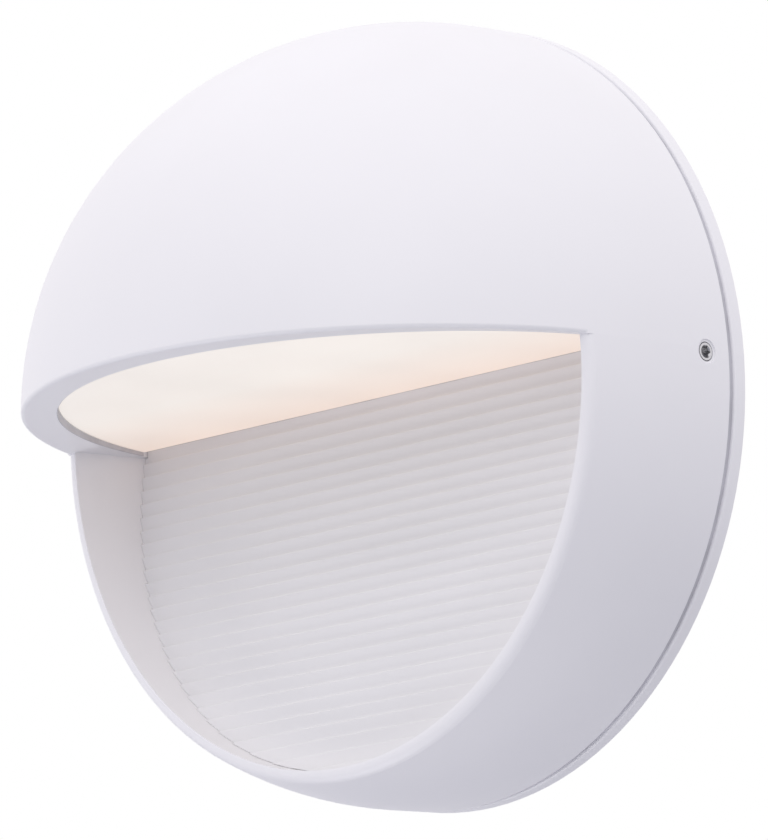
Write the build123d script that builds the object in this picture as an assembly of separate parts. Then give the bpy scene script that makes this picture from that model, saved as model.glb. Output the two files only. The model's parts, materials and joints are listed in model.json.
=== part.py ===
from build123d import *
import os
from math import atan2, cos, degrees, radians, sin, sqrt

# A round white outdoor wall light: a half-ball housing whose upper half is a hood, with a flat
# diffuser under it and a ribbed reflector in the recess below. The wall is the plane Y = 0 and
# the light stands out from it towards -Y. A depth is a distance in front of the wall, so a
# point's Y is minus its depth. Heights are Z, measured from the middle of the round wall plate.
# All lengths are millimetres.

# Overall form
overall_diameter = 165.0
plate_thickness = 3.0
joint_gap = 1.6
dome_centre_depth = 12.6
housing_wall = 2.6
far = 200.0
overcut = 1.0

# Hood and recess
hood_height = -0.35
hood_rise = 0.059
opening_depth = 40.4
opening_edge_width = 2.2
hood_rim_width = 7.5
hood_floor_thickness = 2.8
rim_bevel_height = 1.9
rim_bevel_rise = 0.036
rim_bevel_setback = 0.9
hood_edge_rounding = 0.8
opening_edge_rounding = 2.4

# Clearances
fitted_clearance = 0.3
thread_clearance = 0.05
bore_clearance = 0.05

# Ribbed reflector
reflector_depth = 21.0
reflector_lean = 0.205
reflector_thickness = 2.0
rib_pitch = 3.0
rib_ledge = 0.9
first_rib_height = 1.0
seal_thickness = 0.5
reflector_screw_height = -12.0
reflector_screw_inset = 5.1

# Diffuser
diffuser_flange_thickness = 2.5
diffuser_drop = 1.0
diffuser_overlap = 3.6
diffuser_gap = 0.4
diffuser_gasket_thickness = 0.8

# Wall plate
spigot_end_depth = 10.0
spigot_thickness = 2.2
spigot_clearance = 0.4
gasket_setback = 0.7
gasket_width = 1.7
wall_gasket_radius = 78.0
wall_gasket_width = 5.0
wall_gasket_thickness = 1.5
plate_edge_rounding = 0.5
box_screw_spacing = 88.9
box_slot_length = 14.0
box_slot_width = 4.8

# Wire entry
wire_hole_radius = 11.0
grommet_bore_radius = 4.0
grommet_lip = 2.5
grommet_back_lip_thickness = 1.2
grommet_front_lip_thickness = 1.5

# Side screws that hold the housing on the wall plate
side_screw_depth = 11.0
side_screw_radius = 2.0
side_screw_length = 4.0
side_screw_set_in = 0.3
side_socket_width = 2.0
side_socket_mouth_radius = 1.55
side_spotface_radius = 2.55
side_boss_radius = 4.5
lug_gap = 0.3
lug_thickness = 4.5
lug_half_height = 6.0
lug_side_gap = 1.0
lug_end_depth = 14.5

# LED tray with its screw ears
tray_height = 24.0
tray_thickness = 2.0
tray_clearance = 0.55
tray_setback = 0.5
ear_room = 7.0
ear_width = 16.0
ear_rise = 14.0
pillar_radius = 4.5
pillar_hole_depth = 12.0

# Light box between diffuser and tray
light_box_wall = 1.2
light_box_inset = 0.4

# LED board
board_side_room = 27.4
board_front_room = 20.0
board_thickness = 1.6
board_back_gap = 9.5
led_columns = 6
led_rows = 3
led_side_margin = 8.5
led_end_margin = 6.0
led_width = 2.8
led_length = 3.5
led_thickness = 0.8
board_screw_inset = 4.0

# LED driver
driver_end_room = 1.0
driver_inset = 8.0
driver_height = 20.0
driver_back_gap = 11.5
driver_ear_length = 7.0
driver_ear_thickness = 3.0
driver_edge_rounding = 1.5

# Terminal block
pole_count = 3
pole_pitch = 11.0
terminal_length = 20.0
terminal_thickness = 14.0
terminal_centre_height = -36.0
terminal_front_gap = 7.1
terminal_boss_radius = 3.2
sleeve_radius = 2.6
sleeve_bore_radius = 1.6
clamp_screw_head_radius = 2.4

# Leads
lead_radius = 1.2
lead_standoff = 2.1
lead_entry_rise = 10.0
lead_bend_share = 0.8
earth_bend_share = 0.45
led_lead_radius = 0.9
led_lead_spacing = 5.0
earth_tab_x = 30.0
earth_tab_width = 12.0
earth_lug_radius = 4.2
earth_lug_thickness = 1.0
earth_barrel_radius = 1.7
earth_barrel_length = 6.0
earth_barrel_drop = 4.0

# Screw sizes, as shank radius, head radius and head height
m25 = (1.25, 2.0, 1.5)
m3 = (1.5, 2.8, 1.8)
m4 = (2.0, 3.8, 2.4)
m25_length = 6.0
m4_length = 10.0

# Values worked out from the sizes above
outer_radius = overall_diameter / 2
inner_radius = outer_radius - housing_wall
skirt_depth = plate_thickness + joint_gap
recess_radius = sqrt(outer_radius**2 - (opening_depth - dome_centre_depth) ** 2) - opening_edge_width
aperture_radius = outer_radius - hood_rim_width
diffuser_radius = aperture_radius + diffuser_overlap
side_screw_end = outer_radius - side_screw_set_in
side_screw_tip = side_screw_end - side_screw_length
lug_face = side_screw_tip - thread_clearance
side_boss_end = lug_face + lug_gap
insert_half_width = side_boss_end - fitted_clearance
insert_notch_height = side_boss_radius + fitted_clearance
terminal_width = pole_count * pole_pitch
terminal_top = terminal_centre_height + terminal_length / 2
reflector_back_depth = reflector_depth - rib_ledge - seal_thickness - reflector_thickness
tray_back_depth = reflector_back_depth - tray_setback
lead_depth = tray_back_depth - lead_standoff
terminal_front_depth = lead_depth + terminal_front_gap
terminal_back_depth = terminal_front_depth - terminal_thickness
driver_back_depth = tray_back_depth + driver_back_gap
driver_base_height = tray_height + tray_thickness
board_back_depth = tray_back_depth + board_back_gap
ear_screw_height = driver_base_height + ear_rise / 2
tray_radius = sqrt(inner_radius**2 - (tray_height + tray_thickness) ** 2) - tray_clearance
light_box_radius = tray_radius - light_box_inset
light_chamber_radius = light_box_radius - light_box_wall
board_width = 2 * (light_chamber_radius - board_side_room)
board_length = dome_centre_depth + light_chamber_radius - board_front_room - board_back_depth
driver_width = board_width - 2 * (driver_ear_length + driver_end_room)
driver_length = board_length - driver_inset
ear_spacing = driver_width + 2 * (driver_ear_length + ear_room)
led_pitch_x = (board_width - 2 * led_side_margin) / (led_columns - 1)
led_pitch_y = (board_length - 2 * led_end_margin) / (led_rows - 1)
hood_tilt = degrees(atan2(hood_rise, 1.0))

# Directions
to_wall = (0, 1, 0)

# The hood's underside, with its normal pointing up into the hood
hood_plane = Plane(origin=(0, 0, hood_height), x_dir=(1, 0, 0), z_dir=(0, hood_rise, 1))
hood_centre = (hood_rise * hood_height - dome_centre_depth) * cos(radians(hood_tilt))


def underside_height(depth, above=0.0):
    """Height of the hood's underside at a depth, or of a face that lies above it."""
    return hood_height + hood_rise * depth + above / cos(radians(hood_tilt))


def rib_tip_depth(height):
    """Depth of the plane through the rib tips at a height."""
    return reflector_depth - reflector_lean * height


def shoulder_depth(height):
    """Depth of the housing's shoulder, which is also the plane through the rib roots."""
    return rib_tip_depth(height) - rib_ledge


def leaning_top(depth, above=0.0):
    """Height where a plane with the reflector's lean meets a level above the hood's underside."""
    return underside_height(depth, above) / (1 + hood_rise * reflector_lean)


def disc(radius, start, end, x=0.0, z=0.0):
    """Round bar that runs along the depth between two depths."""
    return extrude(Plane.XZ.offset(start) * Pos(x, z) * Circle(radius), end - start)


def ring(outer, inner, start, end):
    """Flat ring between two depths."""
    return disc(outer, start, end) - disc(inner, start - overcut, end + overcut)


def block(x_range, depth_range, z_range):
    """Box given by its limits in X, in depth and in height."""
    low = (x_range[0], -depth_range[1], z_range[0])
    size = (x_range[1] - x_range[0], depth_range[1] - depth_range[0], z_range[1] - z_range[0])
    return Pos(*low) * Box(*size, align=Align.MIN)


def across(points, half_width=far):
    """Body with a side outline of (depth, height) points, running across the light in X."""
    outline = Polyline(*[(0, -depth, height) for depth, height in points], close=True)
    return extrude(make_face(outline), half_width, dir=(1, 0, 0), both=True)


def dome(radius, start):
    """Cylinder from a depth to the dome's centre, and a half ball in front of it."""
    centre = -dome_centre_depth
    side = Polyline((0, centre - radius), (0, -start), (radius, -start), (radius, centre))
    front = CenterArc((0, centre), radius, -90, 90)
    return revolve(make_face([side, front]), Axis.Y)


def both_sides(shape):
    """A shape and its mirror image on the other side of the light."""
    return [shape, mirror(shape, Plane.YZ)]


def screw(seat, size, length):
    """Pan-head screw with a cross recess: the head stands on the seat, the shank goes below it."""
    shank_radius, head_radius, head_height = size
    head = extrude(seat * Circle(head_radius), head_height)
    top = head.faces().sort_by(Axis(seat.origin, seat.z_dir))[-1]
    head = fillet(top.edges(), head_height / 3)
    slot = Rectangle(head_radius, head_radius / 4) + Rectangle(head_radius / 4, head_radius)
    recess = extrude(seat.offset(head_height) * slot, -head_height / 2)
    return head + extrude(seat * Circle(shank_radius), -length) - recess


def drill(seat, size, length):
    """Hole for a screw's shank below its seat."""
    return extrude(seat.offset(overcut) * Circle(size[0] + thread_clearance), -length - overcut)


def lead(points, radius, bend_radius):
    """Insulated lead along straight runs joined by arcs."""
    path = FilletPolyline(*points, radius=bend_radius)
    start = Plane(origin=path @ 0, z_dir=path % 0)
    return sweep(start * Circle(radius), path)


def below_hood(margin=0.0):
    """Everything below the hood's underside."""
    start = underside_height(-far, -margin)
    end = underside_height(far, -margin)
    return across([(-far, start), (far, end), (far, -far), (-far, -far)])


def seat_to_wall(x, depth, z):
    """Screw seat that faces the wall."""
    return Plane(origin=(x, -depth, z), x_dir=(1, 0, 0), z_dir=to_wall)


def reflector_screw_seats():
    """Seats of the two reflector screws, square to the leaning flange."""
    radius = outer_radius - reflector_screw_inset
    height = reflector_screw_height
    x = sqrt(radius**2 - height**2)
    depth = shoulder_depth(height) - seal_thickness - reflector_thickness
    normal = (0, 1, -reflector_lean)
    return [Plane(origin=(side * x, -depth, height), x_dir=(1, 0, 0), z_dir=normal) for side in (1, -1)]


def ear_screw_seats():
    """Seats of the tray's two screws, on the wall side of its ears."""
    return [seat_to_wall(side * ear_spacing / 2, tray_back_depth, ear_screw_height) for side in (1, -1)]


def earth_seat():
    """Seat of the earth screw, on the ring lug."""
    return seat_to_wall(earth_tab_x, tray_back_depth - earth_lug_thickness, ear_screw_height)


def terminal_screw_seats():
    """Seats of the screws between the poles that hold the terminal block."""
    half = pole_pitch / 2
    return [seat_to_wall(side * half, terminal_back_depth, terminal_centre_height) for side in (1, -1)]


def terminal_boss_length():
    """Length of the reflector's bosses from the terminal block to the shoulder."""
    return shoulder_depth(terminal_centre_height) - terminal_front_depth


def pole_positions():
    """X of each pole of the terminal block."""
    first = -(pole_count - 1) * pole_pitch / 2
    return [first + index * pole_pitch for index in range(pole_count)]


def board_screw_seats():
    """Seats of the LED board's corner screws, facing down."""
    x = board_width / 2 - board_screw_inset
    depths = (board_back_depth + board_screw_inset, board_back_depth + board_length - board_screw_inset)
    height = tray_height - board_thickness
    return [
        Plane(origin=(side * x, -depth, height), x_dir=(1, 0, 0), z_dir=(0, 0, -1))
        for side in (1, -1)
        for depth in depths
    ]


def driver_screw_seats():
    """Seats of the driver's two screws, on top of its end ears."""
    x = driver_width / 2 + driver_ear_length / 2
    depth = driver_back_depth + driver_length / 2
    height = driver_base_height + driver_ear_thickness
    return [Plane(origin=(side * x, -depth, height), x_dir=(1, 0, 0), z_dir=(0, 0, 1)) for side in (1, -1)]


def led_lead_places():
    """X and depth of the two short leads from the driver down to the LED board."""
    depth = driver_back_depth + driver_length / 2
    return [(side * led_lead_spacing / 2, depth) for side in (1, -1)]


def hood_outside():
    """Outside of the hood, with its rim rounded in front of the opening."""
    body = dome(outer_radius, skirt_depth) - below_hood()
    centre = Vector(0, -dome_centre_depth, 0)
    rim = ShapeList()
    for edge in body.edges():
        middle = edge @ 0.5
        on_dome = abs((middle - centre).length - outer_radius) < 0.01
        on_underside = abs(middle.Z - underside_height(-middle.Y)) < 0.01
        if on_dome and on_underside:
            rim.append(edge)
    front = block((-far, far), (opening_depth, far), (-far, far))
    return (body - front) + (fillet(rim, hood_edge_rounding) & front)


def shell_outside():
    """Outside of the lower shell: the dome cut off flat at the opening, with a rounded edge."""
    body = dome(outer_radius, skirt_depth) & disc(outer_radius + overcut, 0, opening_depth)
    body = fillet(body.edges().sort_by(Axis.Y)[0], opening_edge_rounding)
    return body & below_hood()


def rim_bevel():
    """Space cut under the hood's rim, whose underside rises from its outer edge to the aperture."""
    bevel_plane = Plane(
        origin=(0, -dome_centre_depth, rim_bevel_height + rim_bevel_rise * dome_centre_depth),
        x_dir=(1, 0, 0),
        z_dir=(0, rim_bevel_rise, 1),
    )
    outer = hood_plane * Pos(0, hood_centre) * Circle(outer_radius - rim_bevel_setback)
    inner = bevel_plane * Circle(aperture_radius)
    space = loft([outer.face(), inner.face()], ruled=True)
    in_recess = disc(recess_radius, 0, opening_depth)
    return space & (in_recess + block((-far, far), (opening_depth, far), (-far, far)))


def housing():
    """Cast housing: round shell, hood floor, recess collar, screw bosses and tray pillars."""
    outside = hood_outside() + shell_outside()
    corner_height = leaning_top(shoulder_depth(0), hood_floor_thickness)
    collar = across(
        [
            (shoulder_depth(-far), -far),
            (shoulder_depth(corner_height), corner_height),
            (far, underside_height(far, hood_floor_thickness)),
            (far, underside_height(far)),
            (opening_depth, underside_height(opening_depth)),
            (opening_depth, -far),
        ]
    )
    body = outside - dome(inner_radius, skirt_depth - overcut) + (outside & collar)
    body -= disc(recess_radius, skirt_depth, far) & below_hood()
    aperture = hood_plane.offset(-overcut) * Pos(0, hood_centre) * Circle(aperture_radius)
    body -= extrude(aperture, hood_floor_thickness + 2 * overcut)
    body -= rim_bevel()
    for side in (1, -1):
        boss_start = Plane(origin=(side * side_boss_end, -side_screw_depth, 0), z_dir=(side, 0, 0))
        boss = extrude(boss_start * Circle(side_boss_radius), outer_radius - housing_wall / 2 - side_boss_end)
        body += boss & dome(outer_radius, skirt_depth)
        pillar_x = side * ear_spacing / 2
        pillar = disc(pillar_radius, tray_back_depth + tray_thickness, far, pillar_x, ear_screw_height)
        body += pillar & dome(outer_radius - housing_wall / 2, skirt_depth)
    for side in (1, -1):
        axis = Plane(origin=(side * (side_boss_end - overcut), -side_screw_depth, 0), z_dir=(side, 0, 0))
        body -= extrude(axis * Circle(side_screw_radius + thread_clearance), far)
        spot = Plane(origin=(side * side_screw_end, -side_screw_depth, 0), z_dir=(side, 0, 0))
        body -= extrude(spot * Circle(side_spotface_radius), far)
    for seat in ear_screw_seats():
        body -= drill(seat, m4, tray_thickness + pillar_hole_depth)
    for seat in reflector_screw_seats():
        body -= drill(seat, m25, m25_length + overcut)
    return body


def mounting_plate():
    """Cast wall plate: disc, locating ring, two side lugs, slots and the wire hole."""
    disc_body = disc(outer_radius, 0, plate_thickness)
    front_edge = disc_body.edges().group_by(Axis.Y)[0]
    plate = fillet(front_edge, plate_edge_rounding)
    spigot_radius = inner_radius - spigot_clearance
    spigot = ring(spigot_radius, spigot_radius - spigot_thickness, plate_thickness, spigot_end_depth)
    gap_height = lug_half_height + lug_side_gap
    spigot -= block((-far, far), (plate_thickness, spigot_end_depth), (-gap_height, gap_height))
    plate += spigot
    lug = block(
        (lug_face - lug_thickness, lug_face),
        (plate_thickness, lug_end_depth),
        (-lug_half_height, lug_half_height),
    )
    for solid in both_sides(lug):
        plate += solid
    groove_inner = wall_gasket_radius - wall_gasket_width
    plate -= ring(wall_gasket_radius, groove_inner, 0, wall_gasket_thickness)
    slot = SlotOverall(box_slot_length, box_slot_width)
    back_face = Plane.XZ.offset(-overcut)
    for side in (1, -1):
        outline = back_face * Pos(side * box_screw_spacing / 2, 0) * slot
        plate -= extrude(outline, plate_thickness + 2 * overcut)
    plate -= disc(wire_hole_radius, -overcut, plate_thickness + overcut)
    plate -= disc(wire_hole_radius + grommet_lip, -overcut, grommet_back_lip_thickness)
    return plate


def wall_gasket():
    """Foam ring in the groove at the back of the wall plate."""
    inner = wall_gasket_radius - wall_gasket_width
    return ring(wall_gasket_radius, inner, 0, wall_gasket_thickness)


def cable_grommet():
    """Rubber grommet in the wire hole, with a lip on both faces of the plate."""
    lip_radius = wire_hole_radius + grommet_lip
    end = plate_thickness + grommet_front_lip_thickness
    body = disc(lip_radius, 0, grommet_back_lip_thickness)
    body += disc(wire_hole_radius, 0, end)
    body += disc(lip_radius, plate_thickness, end)
    return body - disc(grommet_bore_radius, -overcut, end + overcut)


def housing_gasket():
    """Rubber ring between the wall plate's rim and the housing, set back from the outside."""
    outer = outer_radius - gasket_setback
    return ring(outer, outer - gasket_width, plate_thickness, skirt_depth)


def insert_outline():
    """Space inside the housing that an insert from the back can fill."""
    space = dome(inner_radius - fitted_clearance, 0)
    for side in (1, -1):
        low = min(side * insert_half_width, side * far)
        high = max(side * insert_half_width, side * far)
        space -= block((low, high), (0, far), (-insert_notch_height, far))
    return space


def leaning_slab(front_offset, thickness, top_height):
    """Slab that leans with the reflector, its front face behind the shoulder by an offset."""
    low = -far
    back_offset = front_offset + thickness
    return across(
        [
            (shoulder_depth(low) - front_offset, low),
            (shoulder_depth(top_height) - front_offset, top_height),
            (shoulder_depth(top_height) - back_offset, top_height),
            (shoulder_depth(low) - back_offset, low),
        ]
    )


def ribbed_reflector():
    """White moulded reflector: saw-tooth ribs in front, a flange, and bosses behind."""
    back = seal_thickness + reflector_thickness
    top = leaning_top(reflector_depth, hood_floor_thickness)
    back_top = leaning_top(shoulder_depth(0) - back, hood_floor_thickness)
    bottom = -recess_radius - rib_pitch
    outline = [(rib_tip_depth(top), top)]
    height = first_rib_height
    while height > bottom:
        outline.append((shoulder_depth(height), height))
        outline.append((rib_tip_depth(height), height))
        height -= rib_pitch
    outline.append((shoulder_depth(bottom), bottom))
    outline.append((shoulder_depth(bottom) - back, bottom))
    outline.append((shoulder_depth(back_top) - back, back_top))
    ribs = across(outline) & disc(recess_radius - fitted_clearance, 0, far)
    half_aperture = sqrt(aperture_radius**2 - (reflector_depth - dome_centre_depth) ** 2)
    for side in (1, -1):
        edge = side * (half_aperture - fitted_clearance)
        low, high = min(edge, side * far), max(edge, side * far)
        above = block((low, high), (0, far), (-far, far)) - below_hood(fitted_clearance)
        ribs -= above
    flange = leaning_slab(seal_thickness, reflector_thickness, back_top) & insert_outline()
    body = ribs + flange
    for seat in terminal_screw_seats():
        x = seat.origin.X
        boss = disc(terminal_boss_radius, terminal_front_depth, far, x, terminal_centre_height)
        body += boss & across(
            [
                (terminal_front_depth, 0),
                (shoulder_depth(0), 0),
                (shoulder_depth(-far), -far),
                (terminal_front_depth, -far),
            ]
        )
        body -= drill(seat, m3, terminal_thickness + terminal_boss_length())
    for seat in reflector_screw_seats():
        body -= drill(seat, m25, m25_length)
    return body


def reflector_seal():
    """Thin silicone seal between the reflector's flange and the housing's shoulder."""
    seal = leaning_slab(0, seal_thickness, leaning_top(shoulder_depth(0)))
    seal = seal & insert_outline() & below_hood(fitted_clearance)
    seal -= disc(recess_radius, 0, far)
    for seat in reflector_screw_seats():
        seal -= drill(seat, m25, m25_length)
    return seal


def d_plate(radius, back_depth, start, thickness, half_width=far):
    """D-shaped plate lying on the hood floor: round in front, straight at the back."""
    face = hood_plane.offset(start) * Pos(0, hood_centre) * Circle(radius)
    plate = extrude(face, thickness)
    return plate & block((-half_width, half_width), (back_depth, far), (-far, far))


def diffuser():
    """Opal diffuser: a flange that rests on the gasket and a middle that drops into the opening."""
    start = hood_floor_thickness + diffuser_gasket_thickness
    thickness = diffuser_flange_thickness
    flange = d_plate(diffuser_radius, reflector_back_depth, start, thickness, insert_half_width)
    middle = d_plate(
        aperture_radius - diffuser_gap,
        reflector_depth + diffuser_gap,
        start - diffuser_drop,
        diffuser_drop,
    )
    return flange + middle


def diffuser_gasket():
    """Flat silicone gasket under the diffuser's flange, on the hood floor and the reflector."""
    outer = d_plate(
        diffuser_radius,
        reflector_back_depth,
        hood_floor_thickness,
        diffuser_gasket_thickness,
        insert_half_width,
    )
    inner = d_plate(
        aperture_radius - diffuser_gap / 2,
        reflector_depth + diffuser_gap / 2 - rib_ledge,
        hood_floor_thickness - overcut,
        diffuser_gasket_thickness + 2 * overcut,
    )
    return outer - inner


def light_box():
    """White wall round the light chamber, standing on the diffuser and carrying the tray."""
    seat = hood_floor_thickness + diffuser_gasket_thickness + diffuser_flange_thickness
    back = tray_back_depth + light_box_wall
    outer = disc_column(light_box_radius, back, seat, tray_height)
    inner = disc_column(light_chamber_radius, back + light_box_wall, seat - overcut, far)
    return outer - inner


def disc_column(radius, back_depth, seat, top_height):
    """Upright D-shaped column from a tilted seat above the hood floor up to a level top."""
    column = Pos(0, -dome_centre_depth, 0) * extrude(Circle(radius), top_height)
    column &= block((-far, far), (back_depth, far), (0, far))
    return column - below_hood(-seat)


def led_tray():
    """Aluminium tray over the light box, with two screw ears and an earth tab turned up."""
    tray = Pos(0, -dome_centre_depth, tray_height) * extrude(Circle(tray_radius), tray_thickness)
    tray &= block((-far, far), (tray_back_depth, far), (0, far))
    depths = (tray_back_depth, tray_back_depth + tray_thickness)
    heights = (tray_height, driver_base_height + ear_rise)
    for centre, width in (
        (-ear_spacing / 2, ear_width),
        (ear_spacing / 2, ear_width),
        (earth_tab_x, earth_tab_width),
    ):
        tray += block((centre - width / 2, centre + width / 2), depths, heights)
    for seat in ear_screw_seats():
        tray -= drill(seat, m4, far / 10)
    tray -= drill(earth_seat(), m4, far / 10)
    for seat in board_screw_seats() + driver_screw_seats():
        tray -= drill(seat, m3, far / 10)
    for x, depth in led_lead_places():
        tray -= led_lead_bar(x, depth, led_lead_radius + fitted_clearance, tray_height - overcut, far / 10)
    return tray


def led_lead_bar(x, depth, radius, start_height, length):
    """Upright bar at the place of one LED lead."""
    return Pos(x, -depth, start_height) * extrude(Circle(radius), length)


def led_board():
    """Metal-core LED board under the tray, with holes for its screws and leads."""
    half = board_width / 2
    depths = (board_back_depth, board_back_depth + board_length)
    board = block((-half, half), depths, (tray_height - board_thickness, tray_height))
    for seat in board_screw_seats():
        board -= drill(seat, m3, board_thickness + overcut)
    for x, depth in led_lead_places():
        start = tray_height - board_thickness - overcut
        hole_radius = led_lead_radius + bore_clearance
        board -= led_lead_bar(x, depth, hole_radius, start, board_thickness + 2 * overcut)
    return board


def led_chips():
    """Rows of LED chips on the underside of the board."""
    top = tray_height - board_thickness
    middle = board_back_depth + board_length / 2
    chips = []
    for column in range(led_columns):
        for row in range(led_rows):
            x = (column - (led_columns - 1) / 2) * led_pitch_x
            depth = middle + (row - (led_rows - 1) / 2) * led_pitch_y
            place = Pos(x, -depth, top - led_thickness / 2)
            chips.append(place * Box(led_width, led_length, led_thickness))
    return chips


def led_driver():
    """Potted LED driver on top of the tray, with a fixing ear at each end."""
    half = driver_width / 2
    depths = (driver_back_depth, driver_back_depth + driver_length)
    body = block((-half, half), depths, (driver_base_height, driver_base_height + driver_height))
    body = fillet(body.edges().filter_by(Axis.Z), driver_edge_rounding)
    ear_end = half + driver_ear_length
    ear = block(
        (-ear_end, ear_end),
        depths,
        (driver_base_height, driver_base_height + driver_ear_thickness),
    )
    body += ear
    for seat in driver_screw_seats():
        body -= drill(seat, m3, driver_ear_thickness + overcut)
    return body


def terminal_block():
    """Three-pole terminal block on the reflector's bosses, with screws that face the wall."""
    half = terminal_width / 2
    heights = (terminal_top - terminal_length, terminal_top)
    body = block((-half, half), (terminal_back_depth, terminal_front_depth), heights)
    for x in pole_positions():
        body -= sleeve_bar(x, sleeve_radius + bore_clearance)
        for seat in clamp_screw_seats(x):
            body -= drill(seat.offset(overcut), m3, lead_depth - terminal_back_depth)
    for seat in terminal_screw_seats():
        body -= drill(seat, m3, terminal_thickness + overcut)
    return body


def sleeve_bar(x, radius):
    """Upright bar through the terminal block at one pole."""
    start = terminal_top - terminal_length
    return Pos(x, -lead_depth, start) * extrude(Circle(radius), terminal_length)


def clamp_screw_seats(x):
    """Seats of the two clamp screws of one pole."""
    offset = terminal_length / 4
    return [seat_to_wall(x, terminal_back_depth, terminal_centre_height + up * offset) for up in (1, -1)]


def terminal_sleeves():
    """Brass sleeves inside the terminal block, one for each pole."""
    sleeves = []
    for x in pole_positions():
        sleeve = sleeve_bar(x, sleeve_radius) - sleeve_bar(x, sleeve_bore_radius)
        for seat in clamp_screw_seats(x):
            sleeve -= drill(seat, m3, lead_depth - terminal_back_depth)
        sleeves.append(sleeve)
    return sleeves


def terminal_clamp_screws():
    """Clamp screws that press the wires in the sleeves."""
    length = lead_depth - sleeve_bore_radius - terminal_back_depth
    size = (m3[0], clamp_screw_head_radius, m3[2])
    return [screw(seat, size, length) for x in pole_positions() for seat in clamp_screw_seats(x)]


def driver_leads():
    """Live and neutral leads from the terminal block up behind the reflector to the driver."""
    height = driver_base_height + lead_entry_rise
    bend = lead_bend_share * (driver_back_depth - lead_depth)
    leads = []
    for x in pole_positions()[:2]:
        points = [(x, -lead_depth, terminal_top), (x, -lead_depth, height), (x, -driver_back_depth, height)]
        leads.append(lead(points, lead_radius, bend))
    return leads


def earth_lead():
    """Earth lead from the terminal block to the ring lug on the tray."""
    x = pole_positions()[-1]
    lug_bottom = ear_screw_height - earth_barrel_drop - earth_barrel_length
    run = (lug_bottom - terminal_top) / 4
    points = [
        (x, -lead_depth, terminal_top),
        (x, -lead_depth, terminal_top + run),
        (earth_tab_x, -lead_depth, lug_bottom - run),
        (earth_tab_x, -lead_depth, lug_bottom),
    ]
    turn = atan2(earth_tab_x - x, 2 * run)
    bend = earth_bend_share * run / (sin(turn / 2) / cos(turn / 2))
    return lead(points, lead_radius, bend)


def earth_lug():
    """Crimped ring lug that ties the earth lead to the tray."""
    start = tray_back_depth - earth_lug_thickness
    lug = disc(earth_lug_radius, start, tray_back_depth, earth_tab_x, ear_screw_height)
    neck_top = ear_screw_height - earth_barrel_drop
    neck = block(
        (earth_tab_x - earth_barrel_radius, earth_tab_x + earth_barrel_radius),
        (start, tray_back_depth),
        (neck_top - earth_barrel_radius, ear_screw_height),
    )
    barrel_start = Pos(earth_tab_x, -lead_depth, neck_top - earth_barrel_length)
    barrel = barrel_start * extrude(Circle(earth_barrel_radius), earth_barrel_length)
    lug = lug + neck + barrel
    return lug - drill(earth_seat(), m4, earth_lug_thickness + overcut)


def led_leads():
    """Two short leads from the driver through the tray to the LED board."""
    start = tray_height - board_thickness
    return [
        led_lead_bar(x, depth, led_lead_radius, start, driver_base_height - start)
        for x, depth in led_lead_places()
    ]


def side_screws():
    """Hex-socket set screws that press on the lugs, right one first."""
    outer = Plane(origin=(side_screw_end, -side_screw_depth, 0), z_dir=(1, 0, 0))
    body = extrude(outer * Circle(side_screw_radius), -side_screw_length)
    body = chamfer(body.edges().filter_by(GeomType.CIRCLE), side_screw_radius / 6)
    socket = RegularPolygon(side_socket_width / 2, 6, major_radius=False)
    body -= extrude(outer * socket, -side_screw_length / 2)
    mouth = Cone(
        side_socket_width / 2,
        side_socket_mouth_radius,
        side_socket_mouth_radius - side_socket_width / 2,
        align=(Align.CENTER, Align.CENTER, Align.MAX),
    )
    body -= outer * mouth
    return both_sides(body)


def save(name, shape):
    """Write one piece, or a group of equal pieces, to its own file."""
    solids = list(shape) if isinstance(shape, list) else [shape]
    pieces = [solid for item in solids for solid in item.solids()]
    export_step(Compound(children=pieces) if len(pieces) > 1 else pieces[0], f"parts/{name}.step")


os.makedirs("parts", exist_ok=True)

driver_lead_pair = driver_leads()
led_lead_pair = led_leads()
side_screw_pair = side_screws()
board_screw_length = board_thickness + tray_thickness - thread_clearance
driver_screw_length = driver_ear_thickness + tray_thickness - thread_clearance
terminal_screw_length = terminal_thickness + terminal_boss_length() - seal_thickness

save("mounting_plate", mounting_plate())
save("wall_gasket", wall_gasket())
save("cable_grommet", cable_grommet())
save("housing_gasket", housing_gasket())
save("housing", housing())
save("ribbed_reflector", ribbed_reflector())
save("reflector_seal", reflector_seal())
save("reflector_screws", [screw(seat, m25, m25_length) for seat in reflector_screw_seats()])
save("diffuser", diffuser())
save("diffuser_gasket", diffuser_gasket())
save("light_box", light_box())
save("led_tray", led_tray())
save("tray_screws", [screw(seat, m4, m4_length) for seat in ear_screw_seats()])
save("led_board", led_board())
save("led_chips", led_chips())
save("led_board_screws", [screw(seat, m3, board_screw_length) for seat in board_screw_seats()])
save("led_driver", led_driver())
save("driver_screws", [screw(seat, m3, driver_screw_length) for seat in driver_screw_seats()])
save("terminal_block", terminal_block())
save("terminal_sleeves", terminal_sleeves())
save("terminal_clamp_screws", terminal_clamp_screws())
save("terminal_block_screws", [screw(seat, m3, terminal_screw_length) for seat in terminal_screw_seats()])
save("live_lead", driver_lead_pair[0])
save("neutral_lead", driver_lead_pair[1])
save("earth_lead", earth_lead())
save("earth_lug", earth_lug())
save("earth_screw", screw(earth_seat(), m4, earth_lug_thickness + tray_thickness))
save("led_lead_positive", led_lead_pair[0])
save("led_lead_negative", led_lead_pair[1])
save("side_screw_right", side_screw_pair[0])
save("side_screw_left", side_screw_pair[1])
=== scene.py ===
import json
import logging
import math
from dataclasses import dataclass
from enum import Enum
from functools import cache
from typing import Sequence

import bmesh
import bpy
from mathutils import Matrix, Vector


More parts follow.
